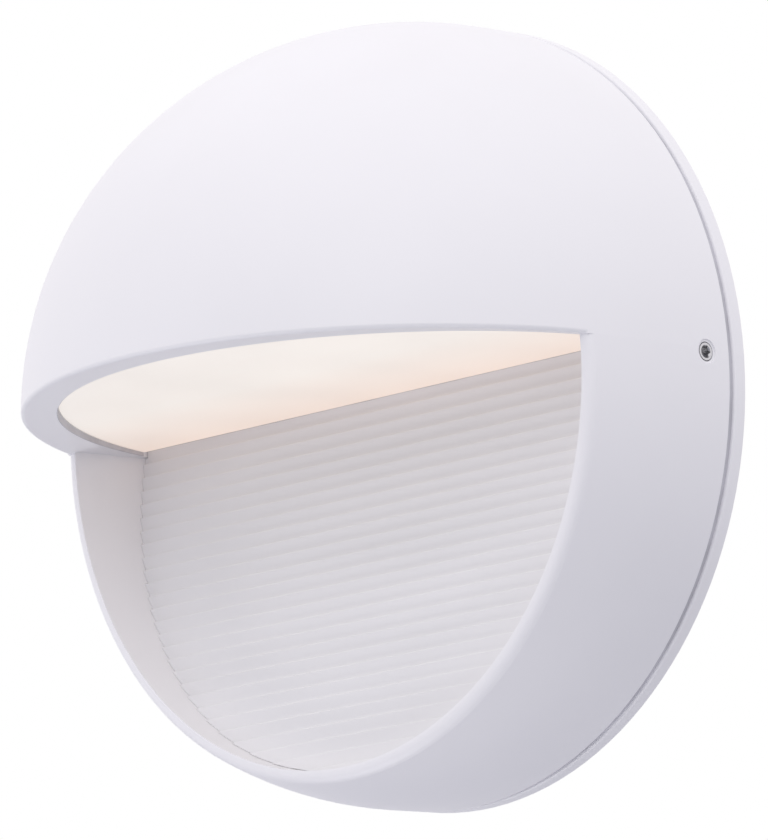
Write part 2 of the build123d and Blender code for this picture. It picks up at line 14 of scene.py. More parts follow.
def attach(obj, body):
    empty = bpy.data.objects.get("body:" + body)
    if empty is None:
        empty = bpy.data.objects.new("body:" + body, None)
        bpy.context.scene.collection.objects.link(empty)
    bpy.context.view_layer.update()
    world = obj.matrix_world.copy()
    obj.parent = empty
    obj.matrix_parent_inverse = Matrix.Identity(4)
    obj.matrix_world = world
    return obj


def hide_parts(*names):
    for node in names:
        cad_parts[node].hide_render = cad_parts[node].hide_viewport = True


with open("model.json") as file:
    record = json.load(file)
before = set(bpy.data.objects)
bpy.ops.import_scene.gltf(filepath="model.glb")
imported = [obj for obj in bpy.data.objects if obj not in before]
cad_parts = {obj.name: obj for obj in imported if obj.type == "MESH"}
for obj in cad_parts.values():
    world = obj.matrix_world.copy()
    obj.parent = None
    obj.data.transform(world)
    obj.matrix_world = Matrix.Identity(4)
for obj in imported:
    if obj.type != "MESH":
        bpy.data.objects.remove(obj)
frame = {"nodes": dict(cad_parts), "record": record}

LOG = logging.getLogger("wall_light")
MM = 0.001
FULL_TURN = 2.0 * math.pi
MERGE = 0.001 * MM
LEAN = 0.205
DOME_CENTRE = 12.6 * MM
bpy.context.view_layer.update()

Colour = tuple[float, float, float]
Outline = Sequence[tuple[float, float]]
Ring = list[Vector]
Node = bpy.types.Node
Socket = bpy.types.NodeSocket
NodeTree = bpy.types.NodeTree
Mesh = bpy.types.Mesh
BMesh = bmesh.types.BMesh


class Body(Enum):
    """Bodies of the light that move as one."""

    WALL = "wall_mount"
    FRONT = "front"
    RIGHT_SCREW = "side_screw_right"
    LEFT_SCREW = "side_screw_left"


class Side(Enum):
    """Sides of the light, as the sign of X."""

    RIGHT = 1
    LEFT = -1


class Facing(Enum):
    """Ways that a screw's head points."""

    WALL = (0.0, 1.0, 0.0)
    UP = (0.0, 0.0, 1.0)
    DOWN = (0.0, 0.0, -1.0)
    LEANING = (0.0, 1.0, -LEAN)


class Graph:
    """Adds and joins the nodes of one shader or geometry tree."""

    def __init__(self, tree: NodeTree) -> None:
        """Keep the tree that the nodes go into."""
        self.tree = tree

    def feed(self, target: Socket, value: object) -> None:
        """Link a socket to another one, or set its value.

        Args:
            target: input socket to fill.
            value: an output socket, or a plain value for the input's default.
        """
        if isinstance(value, Socket):
            self.tree.links.new(value, target)
        else:
            target.default_value = value

    def add(self, kind: str, inputs: dict | None = None, **settings: object) -> Node:
        """Add one node.

        Args:
            kind: Blender's name of the node type.
            inputs: socket name or number to value or output socket.
            settings: properties of the node itself.

        Returns:
            The new node.
        """
        node = self.tree.nodes.new(kind)
        for name, value in settings.items():
            setattr(node, name, value)
        for key, value in (inputs or {}).items():
            self.feed(node.inputs[key], value)
        return node

    def math(self, operation: str, *values: object) -> Socket:
        """Result of a Math node.

        Args:
            operation: Blender's name of the operation.
            values: one to three numbers or output sockets.

        Returns:
            The node's output socket.
        """
        node = self.add("ShaderNodeMath", operation=operation)
        for index, value in enumerate(values):
            self.feed(node.inputs[index], value)
        return node.outputs[0]

    def plus(self, first: object, second: object) -> Socket:
        """Sum of two numbers or sockets."""
        return self.math("ADD", first, second)

    def minus(self, first: object, second: object) -> Socket:
        """First number or socket less the second."""
        return self.math("SUBTRACT", first, second)

    def times(self, first: object, second: object) -> Socket:
        """Product of two numbers or sockets."""
        return self.math("MULTIPLY", first, second)

    def over(self, first: object, second: object) -> Socket:
        """First number or socket divided by the second."""
        return self.math("DIVIDE", first, second)

    def xyz(self, x: object, y: object, z: object) -> Socket:
        """Vector of three numbers or sockets."""
        return self.add("ShaderNodeCombineXYZ", {0: x, 1: y, 2: z}).outputs[0]

    def split(self, vector: Socket) -> Node:
        """Node whose outputs X, Y and Z are a vector's parts."""
        return self.add("ShaderNodeSeparateXYZ", {0: vector})

    def remap(
        self, value: object, low: float, high: float, to_low: float = 0.0, to_high: float = 1.0
    ) -> Socket:
        """Result of a clamped Map Range node.

        Args:
            value: number or socket to map.
            low: start of the range it comes from.
            high: end of the range it comes from.
            to_low: start of the range it goes to.
            to_high: end of the range it goes to.

        Returns:
            The node's output socket.
        """
        inputs = {"Value": value, "From Min": low, "From Max": high, "To Min": to_low, "To Max": to_high}
        return self.add("ShaderNodeMapRange", inputs, clamp=True).outputs["Result"]

    def blend(self, share: object, first: object, second: object) -> Socket:
        """Colour between two colours.

        Args:
            share: 0 for the first colour, 1 for the second.
            first: colour or socket.
            second: colour or socket.

        Returns:
            The mixed colour's socket.
        """
        node = self.add("ShaderNodeMix", data_type="RGBA", blend_type="MIX")
        self.feed(node.inputs[0], share)
        self.feed(node.inputs[6], first)
        self.feed(node.inputs[7], second)
        return node.outputs[2]

    def object_point(self) -> Socket:
        """Point on the piece in its own coordinates, in metres."""
        return self.add("ShaderNodeTexCoord").outputs["Object"]

    def noise(
        self, scale: object, detail: float = 3.0, rough: float = 0.5, vector: Socket | None = None
    ) -> Socket:
        """Noise over the piece.

        Args:
            scale: number or socket, roughly in features per metre.
            detail: number of octaves.
            rough: strength of the finer octaves.
            vector: point to read the noise at, the object's own point if left out.

        Returns:
            The noise value's socket.
        """
        point = self.object_point() if vector is None else vector
        inputs = {"Vector": point, "Scale": scale, "Detail": detail, "Roughness": rough}
        return self.add("ShaderNodeTexNoise", inputs).outputs[0]


class Effects:
    """Shader groups that several finishes share. Each one is built once."""

    @staticmethod
    def start(name: str, inputs: dict[str, float], outputs: Sequence[str]) -> tuple[Graph, Node, Node]:
        """Begin a group with number inputs and number outputs.

        Args:
            name: name of the group.
            inputs: input name to its usual value.
            outputs: names of the outputs.

        Returns:
            The graph, the group's input node and its output node.
        """
        tree = bpy.data.node_groups.new(name, "ShaderNodeTree")
        for key, value in inputs.items():
            socket = tree.interface.new_socket(key, in_out="INPUT", socket_type="NodeSocketFloat")
            socket.default_value = value
        for key in outputs:
            tree.interface.new_socket(key, in_out="OUTPUT", socket_type="NodeSocketFloat")
        graph = Graph(tree)
        return graph, graph.add("NodeGroupInput"), graph.add("NodeGroupOutput")

    @staticmethod
    @cache
    def powder_skin() -> NodeTree:
        """Orange-peel skin of a powder coat: a soft ripple with fine grit on it.

        Returns:
            The group, with a height and a slow change of tone as outputs.
        """
        defaults = {"Ripple Scale": 700.0, "Grit Scale": 3800.0, "Grit Share": 0.3, "Tone Scale": 22.0}
        graph, given, out = Effects.start("powder_skin", defaults, ("Height", "Tone"))
        ripple = graph.noise(given.outputs["Ripple Scale"], detail=1.5, rough=0.4)
        grit = graph.noise(given.outputs["Grit Scale"], detail=2.0, rough=0.6)
        fine = graph.times(grit, given.outputs["Grit Share"])
        graph.feed(out.inputs["Height"], graph.plus(ripple, fine))
        graph.feed(out.inputs["Tone"], graph.noise(given.outputs["Tone Scale"], rough=0.55))
        return graph.tree

    @staticmethod
    @cache
    def settled_dust() -> NodeTree:
        """Thin dust on faces that point up, thicker in patches.

        Returns:
            The group, with a mask as output.
        """
        graph, given, out = Effects.start("settled_dust", {"Amount": 0.1, "Patch Scale": 60.0}, ("Mask",))
        normal = graph.add("ShaderNodeNewGeometry").outputs["Normal"]
        flat = graph.remap(graph.split(normal).outputs["Z"], 0.45, 0.95)
        patches = graph.noise(given.outputs["Patch Scale"], detail=4.0, rough=0.6)
        dust = graph.times(flat, graph.remap(patches, 0.35, 0.7, to_low=0.2))
        graph.feed(out.inputs["Mask"], graph.times(dust, given.outputs["Amount"]))
        return graph.tree

    @staticmethod
    @cache
    def worn_edges() -> NodeTree:
        """Sharp edges, broken up by noise.

        Returns:
            The group, with a mask as output.
        """
        defaults = {"Radius": 0.6 * MM, "Amount": 0.5, "Break Scale": 900.0}
        graph, given, out = Effects.start("worn_edges", defaults, ("Mask",))
        rounded = graph.add("ShaderNodeBevel", {"Radius": given.outputs["Radius"]}, samples=4).outputs[0]
        normal = graph.add("ShaderNodeNewGeometry").outputs["Normal"]
        dot = graph.add("ShaderNodeVectorMath", {0: rounded, 1: normal}, operation="DOT_PRODUCT")
        edge = graph.remap(dot.outputs["Value"], 0.995, 0.85)
        breaks = graph.noise(given.outputs["Break Scale"], rough=0.6)
        worn = graph.times(edge, graph.remap(breaks, 0.4, 0.6))
        graph.feed(out.inputs["Mask"], graph.times(worn, given.outputs["Amount"]))
        return graph.tree

    @staticmethod
    @cache
    def moulded_grain() -> NodeTree:
        """Fine spark texture of a moulded plastic part, with faint flow marks.

        Returns:
            The group, with a height and the flow marks as outputs.
        """
        defaults = {"Grain Scale": 2600.0, "Flow": 0.2, "Flow Scale": 90.0}
        graph, given, out = Effects.start("moulded_grain", defaults, ("Height", "Tone"))
        grain = graph.noise(given.outputs["Grain Scale"], detail=2.0, rough=0.55)
        inputs = {"Vector": graph.object_point(), "Scale": (0.15, 1.0, 1.0)}
        stretched = graph.add("ShaderNodeMapping", inputs).outputs[0]
        flow = graph.noise(given.outputs["Flow Scale"], detail=2.0, vector=stretched)
        marks = graph.times(flow, given.outputs["Flow"])
        graph.feed(out.inputs["Height"], graph.plus(grain, marks))
        graph.feed(out.inputs["Tone"], flow)
        return graph.tree

    @staticmethod
    @cache
    def drawn_lines() -> NodeTree:
        """Fine lines along X left by rolling or brushing a metal.

        Returns:
            The group, with a height and a slow change of tone as outputs.
        """
        defaults = {"Line Scale": 2500.0, "Stretch": 0.02, "Tone Scale": 120.0}
        graph, given, out = Effects.start("drawn_lines", defaults, ("Height", "Tone"))
        scale = graph.xyz(given.outputs["Stretch"], 1.0, 1.0)
        point = graph.object_point()
        stretched = graph.add("ShaderNodeVectorMath", {0: point, 1: scale}, operation="MULTIPLY").outputs[0]
        lines = graph.noise(given.outputs["Line Scale"], rough=0.6, vector=stretched)
        graph.feed(out.inputs["Height"], lines)
        graph.feed(out.inputs["Tone"], graph.noise(given.outputs["Tone Scale"]))
        return graph.tree

    @staticmethod
    @cache
    def rubber_skin() -> NodeTree:
        """Matt rubber skin: pores and a faint bloom.

        Returns:
            The group, with a height and the bloom as outputs.
        """
        defaults = {"Pore Scale": 1800.0, "Bloom Scale": 90.0}
        graph, given, out = Effects.start("rubber_skin", defaults, ("Height", "Bloom"))
        inputs = {"Vector": graph.object_point(), "Scale": given.outputs["Pore Scale"]}
        pores = graph.add("ShaderNodeTexVoronoi", inputs).outputs["Distance"]
        graph.feed(out.inputs["Height"], graph.remap(pores, 0.0, 0.35))
        graph.feed(out.inputs["Bloom"], graph.noise(given.outputs["Bloom Scale"], detail=4.0, rough=0.6))
        return graph.tree


@dataclass(frozen=True)
class Finish:
    """One finish of the light: its name, colour and gloss."""

    name: str
    colour: Colour
    roughness: float = 0.5

    def make(self) -> bpy.types.Material:
        """Build the material.

        Returns:
            The finished Blender material.
        """
        material = bpy.data.materials.new(self.name)
        material.use_nodes = True
        graph = Graph(material.node_tree)
        shader = material.node_tree.nodes["Principled BSDF"]
        material.diffuse_color = (*self.colour, 1.0)
        self.dress(graph, shader)
        return material

    def dress(self, graph: Graph, shader: Node) -> None:
        """Fill the shader's sockets; each finish has its own way."""
        raise NotImplementedError

    def effect(self, graph: Graph, tree: NodeTree, inputs: dict[str, float] | None = None) -> Node:
        """Place a shared effect in this material.

        Args:
            graph: the material's graph.
            tree: the effect's group.
            inputs: this finish's own values for the group's inputs.

        Returns:
            The group node.
        """
        node = graph.add("ShaderNodeGroup", node_tree=tree)
        for key, value in (inputs or {}).items():
            graph.feed(node.inputs[key], value)
        return node

    def edges(self, graph: Graph, radius: float, amount: float) -> Socket:
        """Mask of the worn edges."""
        inputs = {"Radius": radius, "Amount": amount}
        return self.effect(graph, Effects.worn_edges(), inputs).outputs["Mask"]

    def gloss(
        self, graph: Graph, pattern: Socket, spread: float, low: float = 0.0, high: float = 1.0
    ) -> Socket:
        """Roughness that a pattern moves to both sides of the finish's own.

        Args:
            graph: the material's graph.
            pattern: socket with the pattern.
            spread: greatest change of the roughness.
            low: value of the pattern at the glossiest place.
            high: value of the pattern at the dullest place.

        Returns:
            The roughness socket.
        """
        return graph.remap(pattern, low, high, self.roughness - spread, self.roughness + spread)

    def bump(self, graph: Graph, shader: Node, height: Socket, distance: float, strength: float) -> None:
        """Raise the surface by a height pattern.

        Args:
            graph: the material's graph.
            shader: the Principled shader.
            height: socket with the pattern.
            distance: height of the pattern in metres.
            strength: share of the effect.
        """
        inputs = {"Height": height, "Distance": distance, "Strength": strength}
        graph.feed(shader.inputs["Normal"], graph.add("ShaderNodeBump", inputs).outputs[0])

    def rgba(self, factor: float, tint: Colour = (1.0, 1.0, 1.0)) -> tuple[float, ...]:
        """The finish's colour, made lighter or darker and tinted."""
        return (*(part * factor * hue for part, hue in zip(self.colour, tint)), 1.0)


@dataclass(frozen=True)
class PowderCoat(Finish):
    """Satin powder coat on cast aluminium, with orange peel and thin dust."""

    ripple: float = 0.04 * MM
    dust: float = 0.08
    dust_colour: Colour = (0.70, 0.68, 0.64)
    dust_roughness: float = 0.3
    edge_radius: float = 0.7 * MM
    edge_amount: float = 0.35
    edge_polish: float = 0.12
    refraction: float = 1.48

    def dress(self, graph: Graph, shader: Node) -> None:
        """Colour by tone and dust, peel by bump.

        Args:
            graph: the material's graph.
            shader: the Principled shader.
        """
        skin = self.effect(graph, Effects.powder_skin())
        dust = self.effect(graph, Effects.settled_dust(), {"Amount": self.dust}).outputs["Mask"]
        edges = self.edges(graph, self.edge_radius, self.edge_amount)
        tone = graph.remap(skin.outputs["Tone"], 0.35, 0.65)
        paint = graph.blend(tone, self.rgba(0.985), self.rgba(1.0))
        polished = graph.blend(edges, paint, self.rgba(1.03))
        graph.feed(shader.inputs["Base Color"], graph.blend(dust, polished, (*self.dust_colour, 1.0)))
        worn = graph.minus(self.gloss(graph, tone, 0.04), graph.times(edges, self.edge_polish))
        graph.feed(shader.inputs["Roughness"], graph.plus(worn, graph.times(dust, self.dust_roughness)))
        shader.inputs["IOR"].default_value = self.refraction
        self.bump(graph, shader, skin.outputs["Height"], self.ripple, 0.35)


@dataclass(frozen=True)
class MouldedPlastic(Finish):
    """Moulded plastic with a fine spark texture."""

    grain: float = 0.02 * MM
    flow: float = 0.2
    edge_radius: float = 0.3 * MM
    edge_amount: float = 0.4
    edge_polish: float = 0.15

    def dress(self, graph: Graph, shader: Node) -> None:
        """Colour by flow marks, grain by bump, edges a little glossier.

        Args:
            graph: the material's graph.
            shader: the Principled shader.
        """
        grain = self.effect(graph, Effects.moulded_grain(), {"Flow": self.flow})
        edges = self.edges(graph, self.edge_radius, self.edge_amount)
        tone = graph.remap(grain.outputs["Tone"], 0.35, 0.65)
        base = graph.blend(tone, self.rgba(0.97), self.rgba(1.0))
        graph.feed(shader.inputs["Base Color"], graph.blend(edges, base, self.rgba(1.04)))
        polish = graph.times(edges, self.edge_polish)
        graph.feed(shader.inputs["Roughness"], graph.minus(self.gloss(graph, tone, 0.05), polish))
        self.bump(graph, shader, grain.outputs["Height"], self.grain, 0.4)


@dataclass(frozen=True)
class OpalPanel(Finish):
    """Opal diffuser lit from inside: warm, and deeper in colour along its straight back edge."""

    back: float = -21.0 * MM
    front: float = -84.0 * MM
    strength: float = 0.81
    back_glow: Colour = (0.89, 0.725, 0.635)
    middle_glow: Colour = (0.90, 0.84, 0.79)
    front_glow: Colour = (0.89, 0.84, 0.80)
    middle_place: float = 0.46
    grain: float = 0.02 * MM

    def dress(self, graph: Graph, shader: Node) -> None:
        """Glow by depth, with soft spots.

        Args:
            graph: the material's graph.
            shader: the Principled shader.
        """
        depth = graph.split(graph.object_point()).outputs["Y"]
        ramp = graph.add("ShaderNodeValToRGB", {"Fac": graph.remap(depth, self.back, self.front)})
        stops = ramp.color_ramp.elements
        stops[0].position, stops[0].color = 0.0, (*self.back_glow, 1.0)
        stops[1].position, stops[1].color = 1.0, (*self.front_glow, 1.0)
        stops.new(self.middle_place).color = (*self.middle_glow, 1.0)
        spots = graph.remap(graph.noise(40.0, detail=1.0, rough=0.3), 0.3, 0.7, 0.97, 1.03)
        inputs = {0: ramp.outputs[0], "Scale": spots}
        glow = graph.add("ShaderNodeVectorMath", inputs, operation="SCALE").outputs[0]
        graph.feed(shader.inputs["Emission Color"], glow)
        shader.inputs["Emission Strength"].default_value = self.strength
        grain = self.effect(graph, Effects.moulded_grain(), {"Grain Scale": 1800.0, "Flow": 0.1})
        tone = graph.remap(grain.outputs["Tone"], 0.3, 0.7)
        graph.feed(shader.inputs["Base Color"], graph.blend(tone, self.rgba(0.12), self.rgba(0.15)))
        rough = graph.remap(tone, 0.0, 1.0, self.roughness, self.roughness + 0.08)
        graph.feed(shader.inputs["Roughness"], rough)
        self.bump(graph, shader, grain.outputs["Height"], self.grain, 0.3)


@dataclass(frozen=True)
class Rubber(Finish):
    """Rubber, foam or silicone with pores and a faint bloom."""

    pore: float = 0.03 * MM
    pore_scale: float = 1800.0

    def dress(self, graph: Graph, shader: Node) -> None:
        """Colour by bloom, pores by bump.

        Args:
            graph: the material's graph.
            shader: the Principled shader.
        """
        skin = self.effect(graph, Effects.rubber_skin(), {"Pore Scale": self.pore_scale})
        bloom = graph.remap(skin.outputs["Bloom"], 0.35, 0.7)
        graph.feed(shader.inputs["Base Color"], graph.blend(bloom, self.rgba(0.9), self.rgba(1.15)))
        graph.feed(shader.inputs["Roughness"], self.gloss(graph, bloom, 0.08))
        self.bump(graph, shader, skin.outputs["Height"], self.pore, 0.5)


@dataclass(frozen=True)
class Metal(Finish):
    """Bare metal with drawn lines and a little tarnish."""

    line: float = 0.006 * MM
    tarnish: float = 0.25
    edge_radius: float = 0.2 * MM
    edge_amount: float = 0.5

    def dress(self, graph: Graph, shader: Node) -> None:
        """Colour and gloss by tarnish, lines by bump.

        Args:
            graph: the material's graph.
            shader: the Principled shader.
        """
        lines = self.effect(graph, Effects.drawn_lines())
        edges = self.edges(graph, self.edge_radius, self.edge_amount)
        spots = graph.remap(lines.outputs["Tone"], 0.45, 0.7, 0.0, self.tarnish)
        base = graph.blend(spots, self.rgba(1.0), self.rgba(0.72))
        graph.feed(shader.inputs["Base Color"], graph.blend(edges, base, self.rgba(1.1)))
        shader.inputs["Metallic"].default_value = 1.0
        streak = self.gloss(graph, lines.outputs["Height"], 0.07, low=0.3, high=0.7)
        graph.feed(shader.inputs["Roughness"], graph.plus(streak, graph.times(spots, 0.5)))
        self.bump(graph, shader, lines.outputs["Height"], self.line, 0.5)


@dataclass(frozen=True)
class CircuitBoard(Finish):
    """White solder mask with faint copper tracks showing through."""

    track_pitch: float = 7.5 * MM
    track_height: float = 0.04 * MM
    track_tint: Colour = (1.0, 0.97, 0.9)

    def dress(self, graph: Graph, shader: Node) -> None:
        """Tracks by a brick pattern in the board's plane.

        Args:
            graph: the material's graph.
            shader: the Principled shader.
        """
        inputs = {
            "Vector": graph.object_point(),
            "Scale": 1.0 / self.track_pitch,
            "Mortar Size": 0.06,
            "Mortar Smooth": 0.3,
            "Brick Width": 1.0,
            "Row Height": 0.6,
        }
        tracks = graph.add("ShaderNodeTexBrick", inputs).outputs["Fac"]
        colour = graph.blend(tracks, self.rgba(1.0), self.rgba(0.9, self.track_tint))
        graph.feed(shader.inputs["Base Color"], colour)
        rough = graph.remap(graph.noise(600.0), 0.3, 0.7, self.roughness - 0.05, self.roughness + 0.1)
        graph.feed(shader.inputs["Roughness"], rough)
        self.bump(graph, shader, tracks, self.track_height, 0.4)


@dataclass(frozen=True)
class Phosphor(Finish):
    """Yellow phosphor with grains in clear resin."""

    grain_scale: float = 9000.0
    grain_height: float = 0.01 * MM
    coat: float = 0.6

    def dress(self, graph: Graph, shader: Node) -> None:
        """Grains by cells, with a clear coat over them.

        Args:
            graph: the material's graph.
            shader: the Principled shader.
        """
        inputs = {"Vector": graph.object_point(), "Scale": self.grain_scale}
        cells = graph.add("ShaderNodeTexVoronoi", inputs).outputs["Distance"]
        colour = graph.blend(graph.remap(cells, 0.0, 0.8), self.rgba(1.05), self.rgba(0.85))
        graph.feed(shader.inputs["Base Color"], colour)
        graph.feed(shader.inputs["Roughness"], self.gloss(graph, cells, 0.1, high=0.8))
        shader.inputs["Coat Weight"].default_value = self.coat
        self.bump(graph, shader, cells, self.grain_height, 0.3)


FINISHES: dict[str, Finish] = {
    finish.name: finish
    for finish in (
        PowderCoat("white_paint", (0.86, 0.86, 0.885), 0.42),
        MouldedPlastic("white_moulding", (0.835, 0.835, 0.85), 0.5),
        OpalPanel("opal_diffuser", (0.95, 0.92, 0.86), 0.38),
        Rubber("foam", (0.03, 0.03, 0.03), 0.9, pore=0.1 * MM, pore_scale=900.0),
        Rubber("black_rubber", (0.018, 0.018, 0.018), 0.6),
        Rubber("grey_rubber", (0.55, 0.55, 0.59), 0.65),
        Rubber("silicone", (0.70, 0.70, 0.70), 0.35, pore=0.01 * MM),
        Metal("stainless", (0.62, 0.62, 0.63), 0.28),
        Metal("bare_aluminium", (0.78, 0.78, 0.79), 0.38),
        CircuitBoard("board_white", (0.82, 0.82, 0.79), 0.35),
        Phosphor("led_yellow", (0.88, 0.62, 0.08), 0.3),
        MouldedPlastic("driver_case", (0.68, 0.68, 0.65), 0.5, grain=0.03 * MM, flow=0.3),
        MouldedPlastic("terminal_plastic", (0.62, 0.61, 0.55), 0.42, grain=0.01 * MM, flow=0.5),
        Metal("brass", (0.72, 0.50, 0.20), 0.3),
        Metal("brass_screw", (0.66, 0.50, 0.24), 0.33),
        MouldedPlastic("live_insulation", (0.09, 0.03, 0.012), 0.4, grain=0.01 * MM),
        MouldedPlastic("neutral_insulation", (0.02, 0.08, 0.42), 0.4, grain=0.01 * MM),
        MouldedPlastic("earth_insulation", (0.06, 0.32, 0.02), 0.4, grain=0.01 * MM),
        Metal("tinned_copper", (0.72, 0.70, 0.66), 0.3, tarnish=0.5),
        MouldedPlastic("positive_insulation", (0.42, 0.01, 0.01), 0.4, grain=0.01 * MM),
        MouldedPlastic("negative_insulation", (0.015, 0.015, 0.015), 0.4, grain=0.01 * MM),
    )
}


class Workshop:
    """Keeps the finished materials and puts pieces on the light."""

    def __init__(self) -> None:
        """Start with no materials made."""
        self.materials: dict[str, bpy.types.Material] = {}
        records = frame["record"]["subparts"]
        self.node_slots: dict[str, str] = {item["node"]: item["material_slot"] for item in records}

    def material(self, slot: str) -> bpy.types.Material:
        """The material of a slot, made when it is first asked for.

        Args:
            slot: the record's material slot.

        Returns:
            The material.
        """
        if slot not in self.materials:
            self.materials[slot] = FINISHES[slot].make()
        return self.materials[slot]

    def paint_node(self, node: str) -> None:
        """Give a node of the model its finish.

        Args:
            node: the node's name.
        """
        materials = frame["nodes"][node].data.materials
        slot = self.node_slots[node]
        for index in range(len(materials)):
            materials[index] = self.material(slot)
        if not materials:
            materials.append(self.material(slot))
        LOG.info("node %s painted %s", node, slot)

    def place(
        self,
        name: str,
        mesh: Mesh,
        body: Body,
        slot: str,
        nodes: Sequence[str] = (),
        sharp: float = 40.0,
    ) -> bpy.types.Object:
        """Put a new piece on the light.

        Args:
            name: the piece's name.
            mesh: its mesh, in the light's own place.
            body: the body that it rides on.
            slot: the record's material slot.
            nodes: nodes of the model that it stands for.
            sharp: angle in degrees above which an edge stays sharp.

        Returns:
            The new object.
        """
        mesh.materials.clear()
        mesh.materials.append(self.material(slot))
        mesh.shade_smooth()
        mesh.set_sharp_from_angle(angle=math.radians(sharp))
        piece = bpy.data.objects.new(name, mesh)
        bpy.context.scene.collection.objects.link(piece)
        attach(piece, body.value)
        if nodes:
            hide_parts(*nodes)
        LOG.info("piece %s on %s, %d faces", name, body.value, len(mesh.polygons))
        return piece


def circle(radius: float, height: float, segments: int) -> Ring:
    """Round ring of points about the Z axis.

    Args:
        radius: its radius; a radius of zero gives one point, a pole.
        height: its height along Z.
        segments: number of points.

    Returns:
        The points, anticlockwise from X.
    """
    if radius == 0.0:
        return [Vector((0.0, 0.0, height))]
    angles = (FULL_TURN * step / segments for step in range(segments))
    return [Vector((radius * math.cos(angle), radius * math.sin(angle), height)) for angle in angles]


def loft(rows: Sequence[Ring], bm: BMesh, closed: bool = True) -> None:
    """Join rings of points into a skin.

    Args:
        rows: rings with the same number of points; a ring of one point is a pole.
        bm: mesh that the skin goes into.
        closed: whether the first and last rings get an end face.
    """
    rings = [[bm.verts.new(point) for point in row] for row in rows]
    for lower, upper in zip(rings, rings[1:]):
        count = max(len(lower), len(upper))
        for index in range(count):
            after = (index + 1) % count
            sides = ((lower, index), (lower, after), (upper, after), (upper, index))
            corners = list(dict.fromkeys(ring[place % len(ring)] for ring, place in sides))
            if len(corners) > 2:
                bm.faces.new(corners)
    if closed:
        for ring in (rings[0], rings[-1]):
            if len(ring) > 2:
                bm.faces.new(ring)


def skinned(name: str, rows: Sequence[Ring], closed: bool = False) -> Mesh:
    """Mesh of one skin over rings of points.

    Args:
        name: name of the mesh.
        rows: rings that the skin joins.
        closed: whether the first and last rings get an end face.

    Returns:
        The new mesh.
    """
    bm = bmesh.new()
    loft(rows, bm, closed)
    return to_mesh(name, bm)


def to_mesh(name: str, bm: BMesh) -> Mesh:
    """Close a bmesh into a mesh with its faces pointing out.

    Args:
        name: name of the mesh.
        bm: the built mesh, freed here.

    Returns:
        The new mesh.
    """
    bmesh.ops.remove_doubles(bm, verts=bm.verts, dist=MERGE)
    bmesh.ops.recalc_face_normals(bm, faces=bm.faces)
    mesh = bpy.data.meshes.new(name)
    bm.to_mesh(mesh)
    bm.free()
    return mesh


def place_of(point: Vector, direction: Sequence[float]) -> Matrix:
    """Local axes at a point with Z along a direction."""
    turn = Vector(direction).normalized().to_track_quat("Z", "Y").to_matrix().to_4x4()
    return Matrix.Translation(point) @ turn


def run_nodes(name: str, tree: NodeTree, values: dict[str, object], start: Mesh | None = None) -> Mesh:
    """Run a geometry tree on a mesh and keep the result as a plain mesh.

    Args:
        name: name of the result.
        tree: the geometry tree.
        values: input name to value.
        start: mesh that the tree starts from, empty if left out.

    Returns:
        The plain mesh.
    """
    base = start or bpy.data.meshes.new(name + "_start")
    carrier = bpy.data.objects.new(name + "_carrier", base)
    bpy.context.scene.collection.objects.link(carrier)
    modifier = carrier.modifiers.new("build", "NODES")
    modifier.node_group = tree
    for item in tree.interface.items_tree:
        if item.item_type == "SOCKET" and item.in_out == "INPUT" and item.name in values:
            modifier[item.identifier] = values[item.name]
    carrier.update_tag()
    bpy.context.view_layer.update()
    graph = bpy.context.evaluated_depsgraph_get()
    mesh = bpy.data.meshes.new_from_object(carrier.evaluated_get(graph))
    mesh.name = name
    carrier.modifiers.remove(modifier)
    bpy.data.objects.remove(carrier)
    return mesh


class GeometryTree:
    """A geometry tree with named inputs that ends in Realize Instances and Set Material."""

    def __init__(self, name: str, inputs: dict[str, tuple[str, object]]) -> None:
        """Build the interface.

        Args:
            name: name of the tree.
            inputs: input name to its socket type and usual value.
        """
        self.tree = bpy.data.node_groups.new(name, "GeometryNodeTree")
        face = self.tree.interface
        face.new_socket("Geometry", in_out="INPUT", socket_type="NodeSocketGeometry")
        for key, (kind, value) in inputs.items():
            socket = face.new_socket(key, in_out="INPUT", socket_type=kind)
            if value is not None:
                socket.default_value = value
        face.new_socket("Geometry", in_out="OUTPUT", socket_type="NodeSocketGeometry")
        self.graph = Graph(self.tree)
        self.given = self.graph.add("NodeGroupInput").outputs
        self.out = self.graph.add("NodeGroupOutput").inputs[0]

    def end(self, geometry: Socket) -> NodeTree:
        """Realize, set the material and hand the tree back.

        Args:
            geometry: socket with the finished shape.

        Returns:
            The tree.
        """
        real = self.graph.add("GeometryNodeRealizeInstances", {0: geometry}).outputs[0]
        inputs = {"Geometry": real, "Material": self.given["Material"]}
        self.graph.feed(self.out, self.graph.add("GeometryNodeSetMaterial", inputs).outputs[0])
        return self.tree


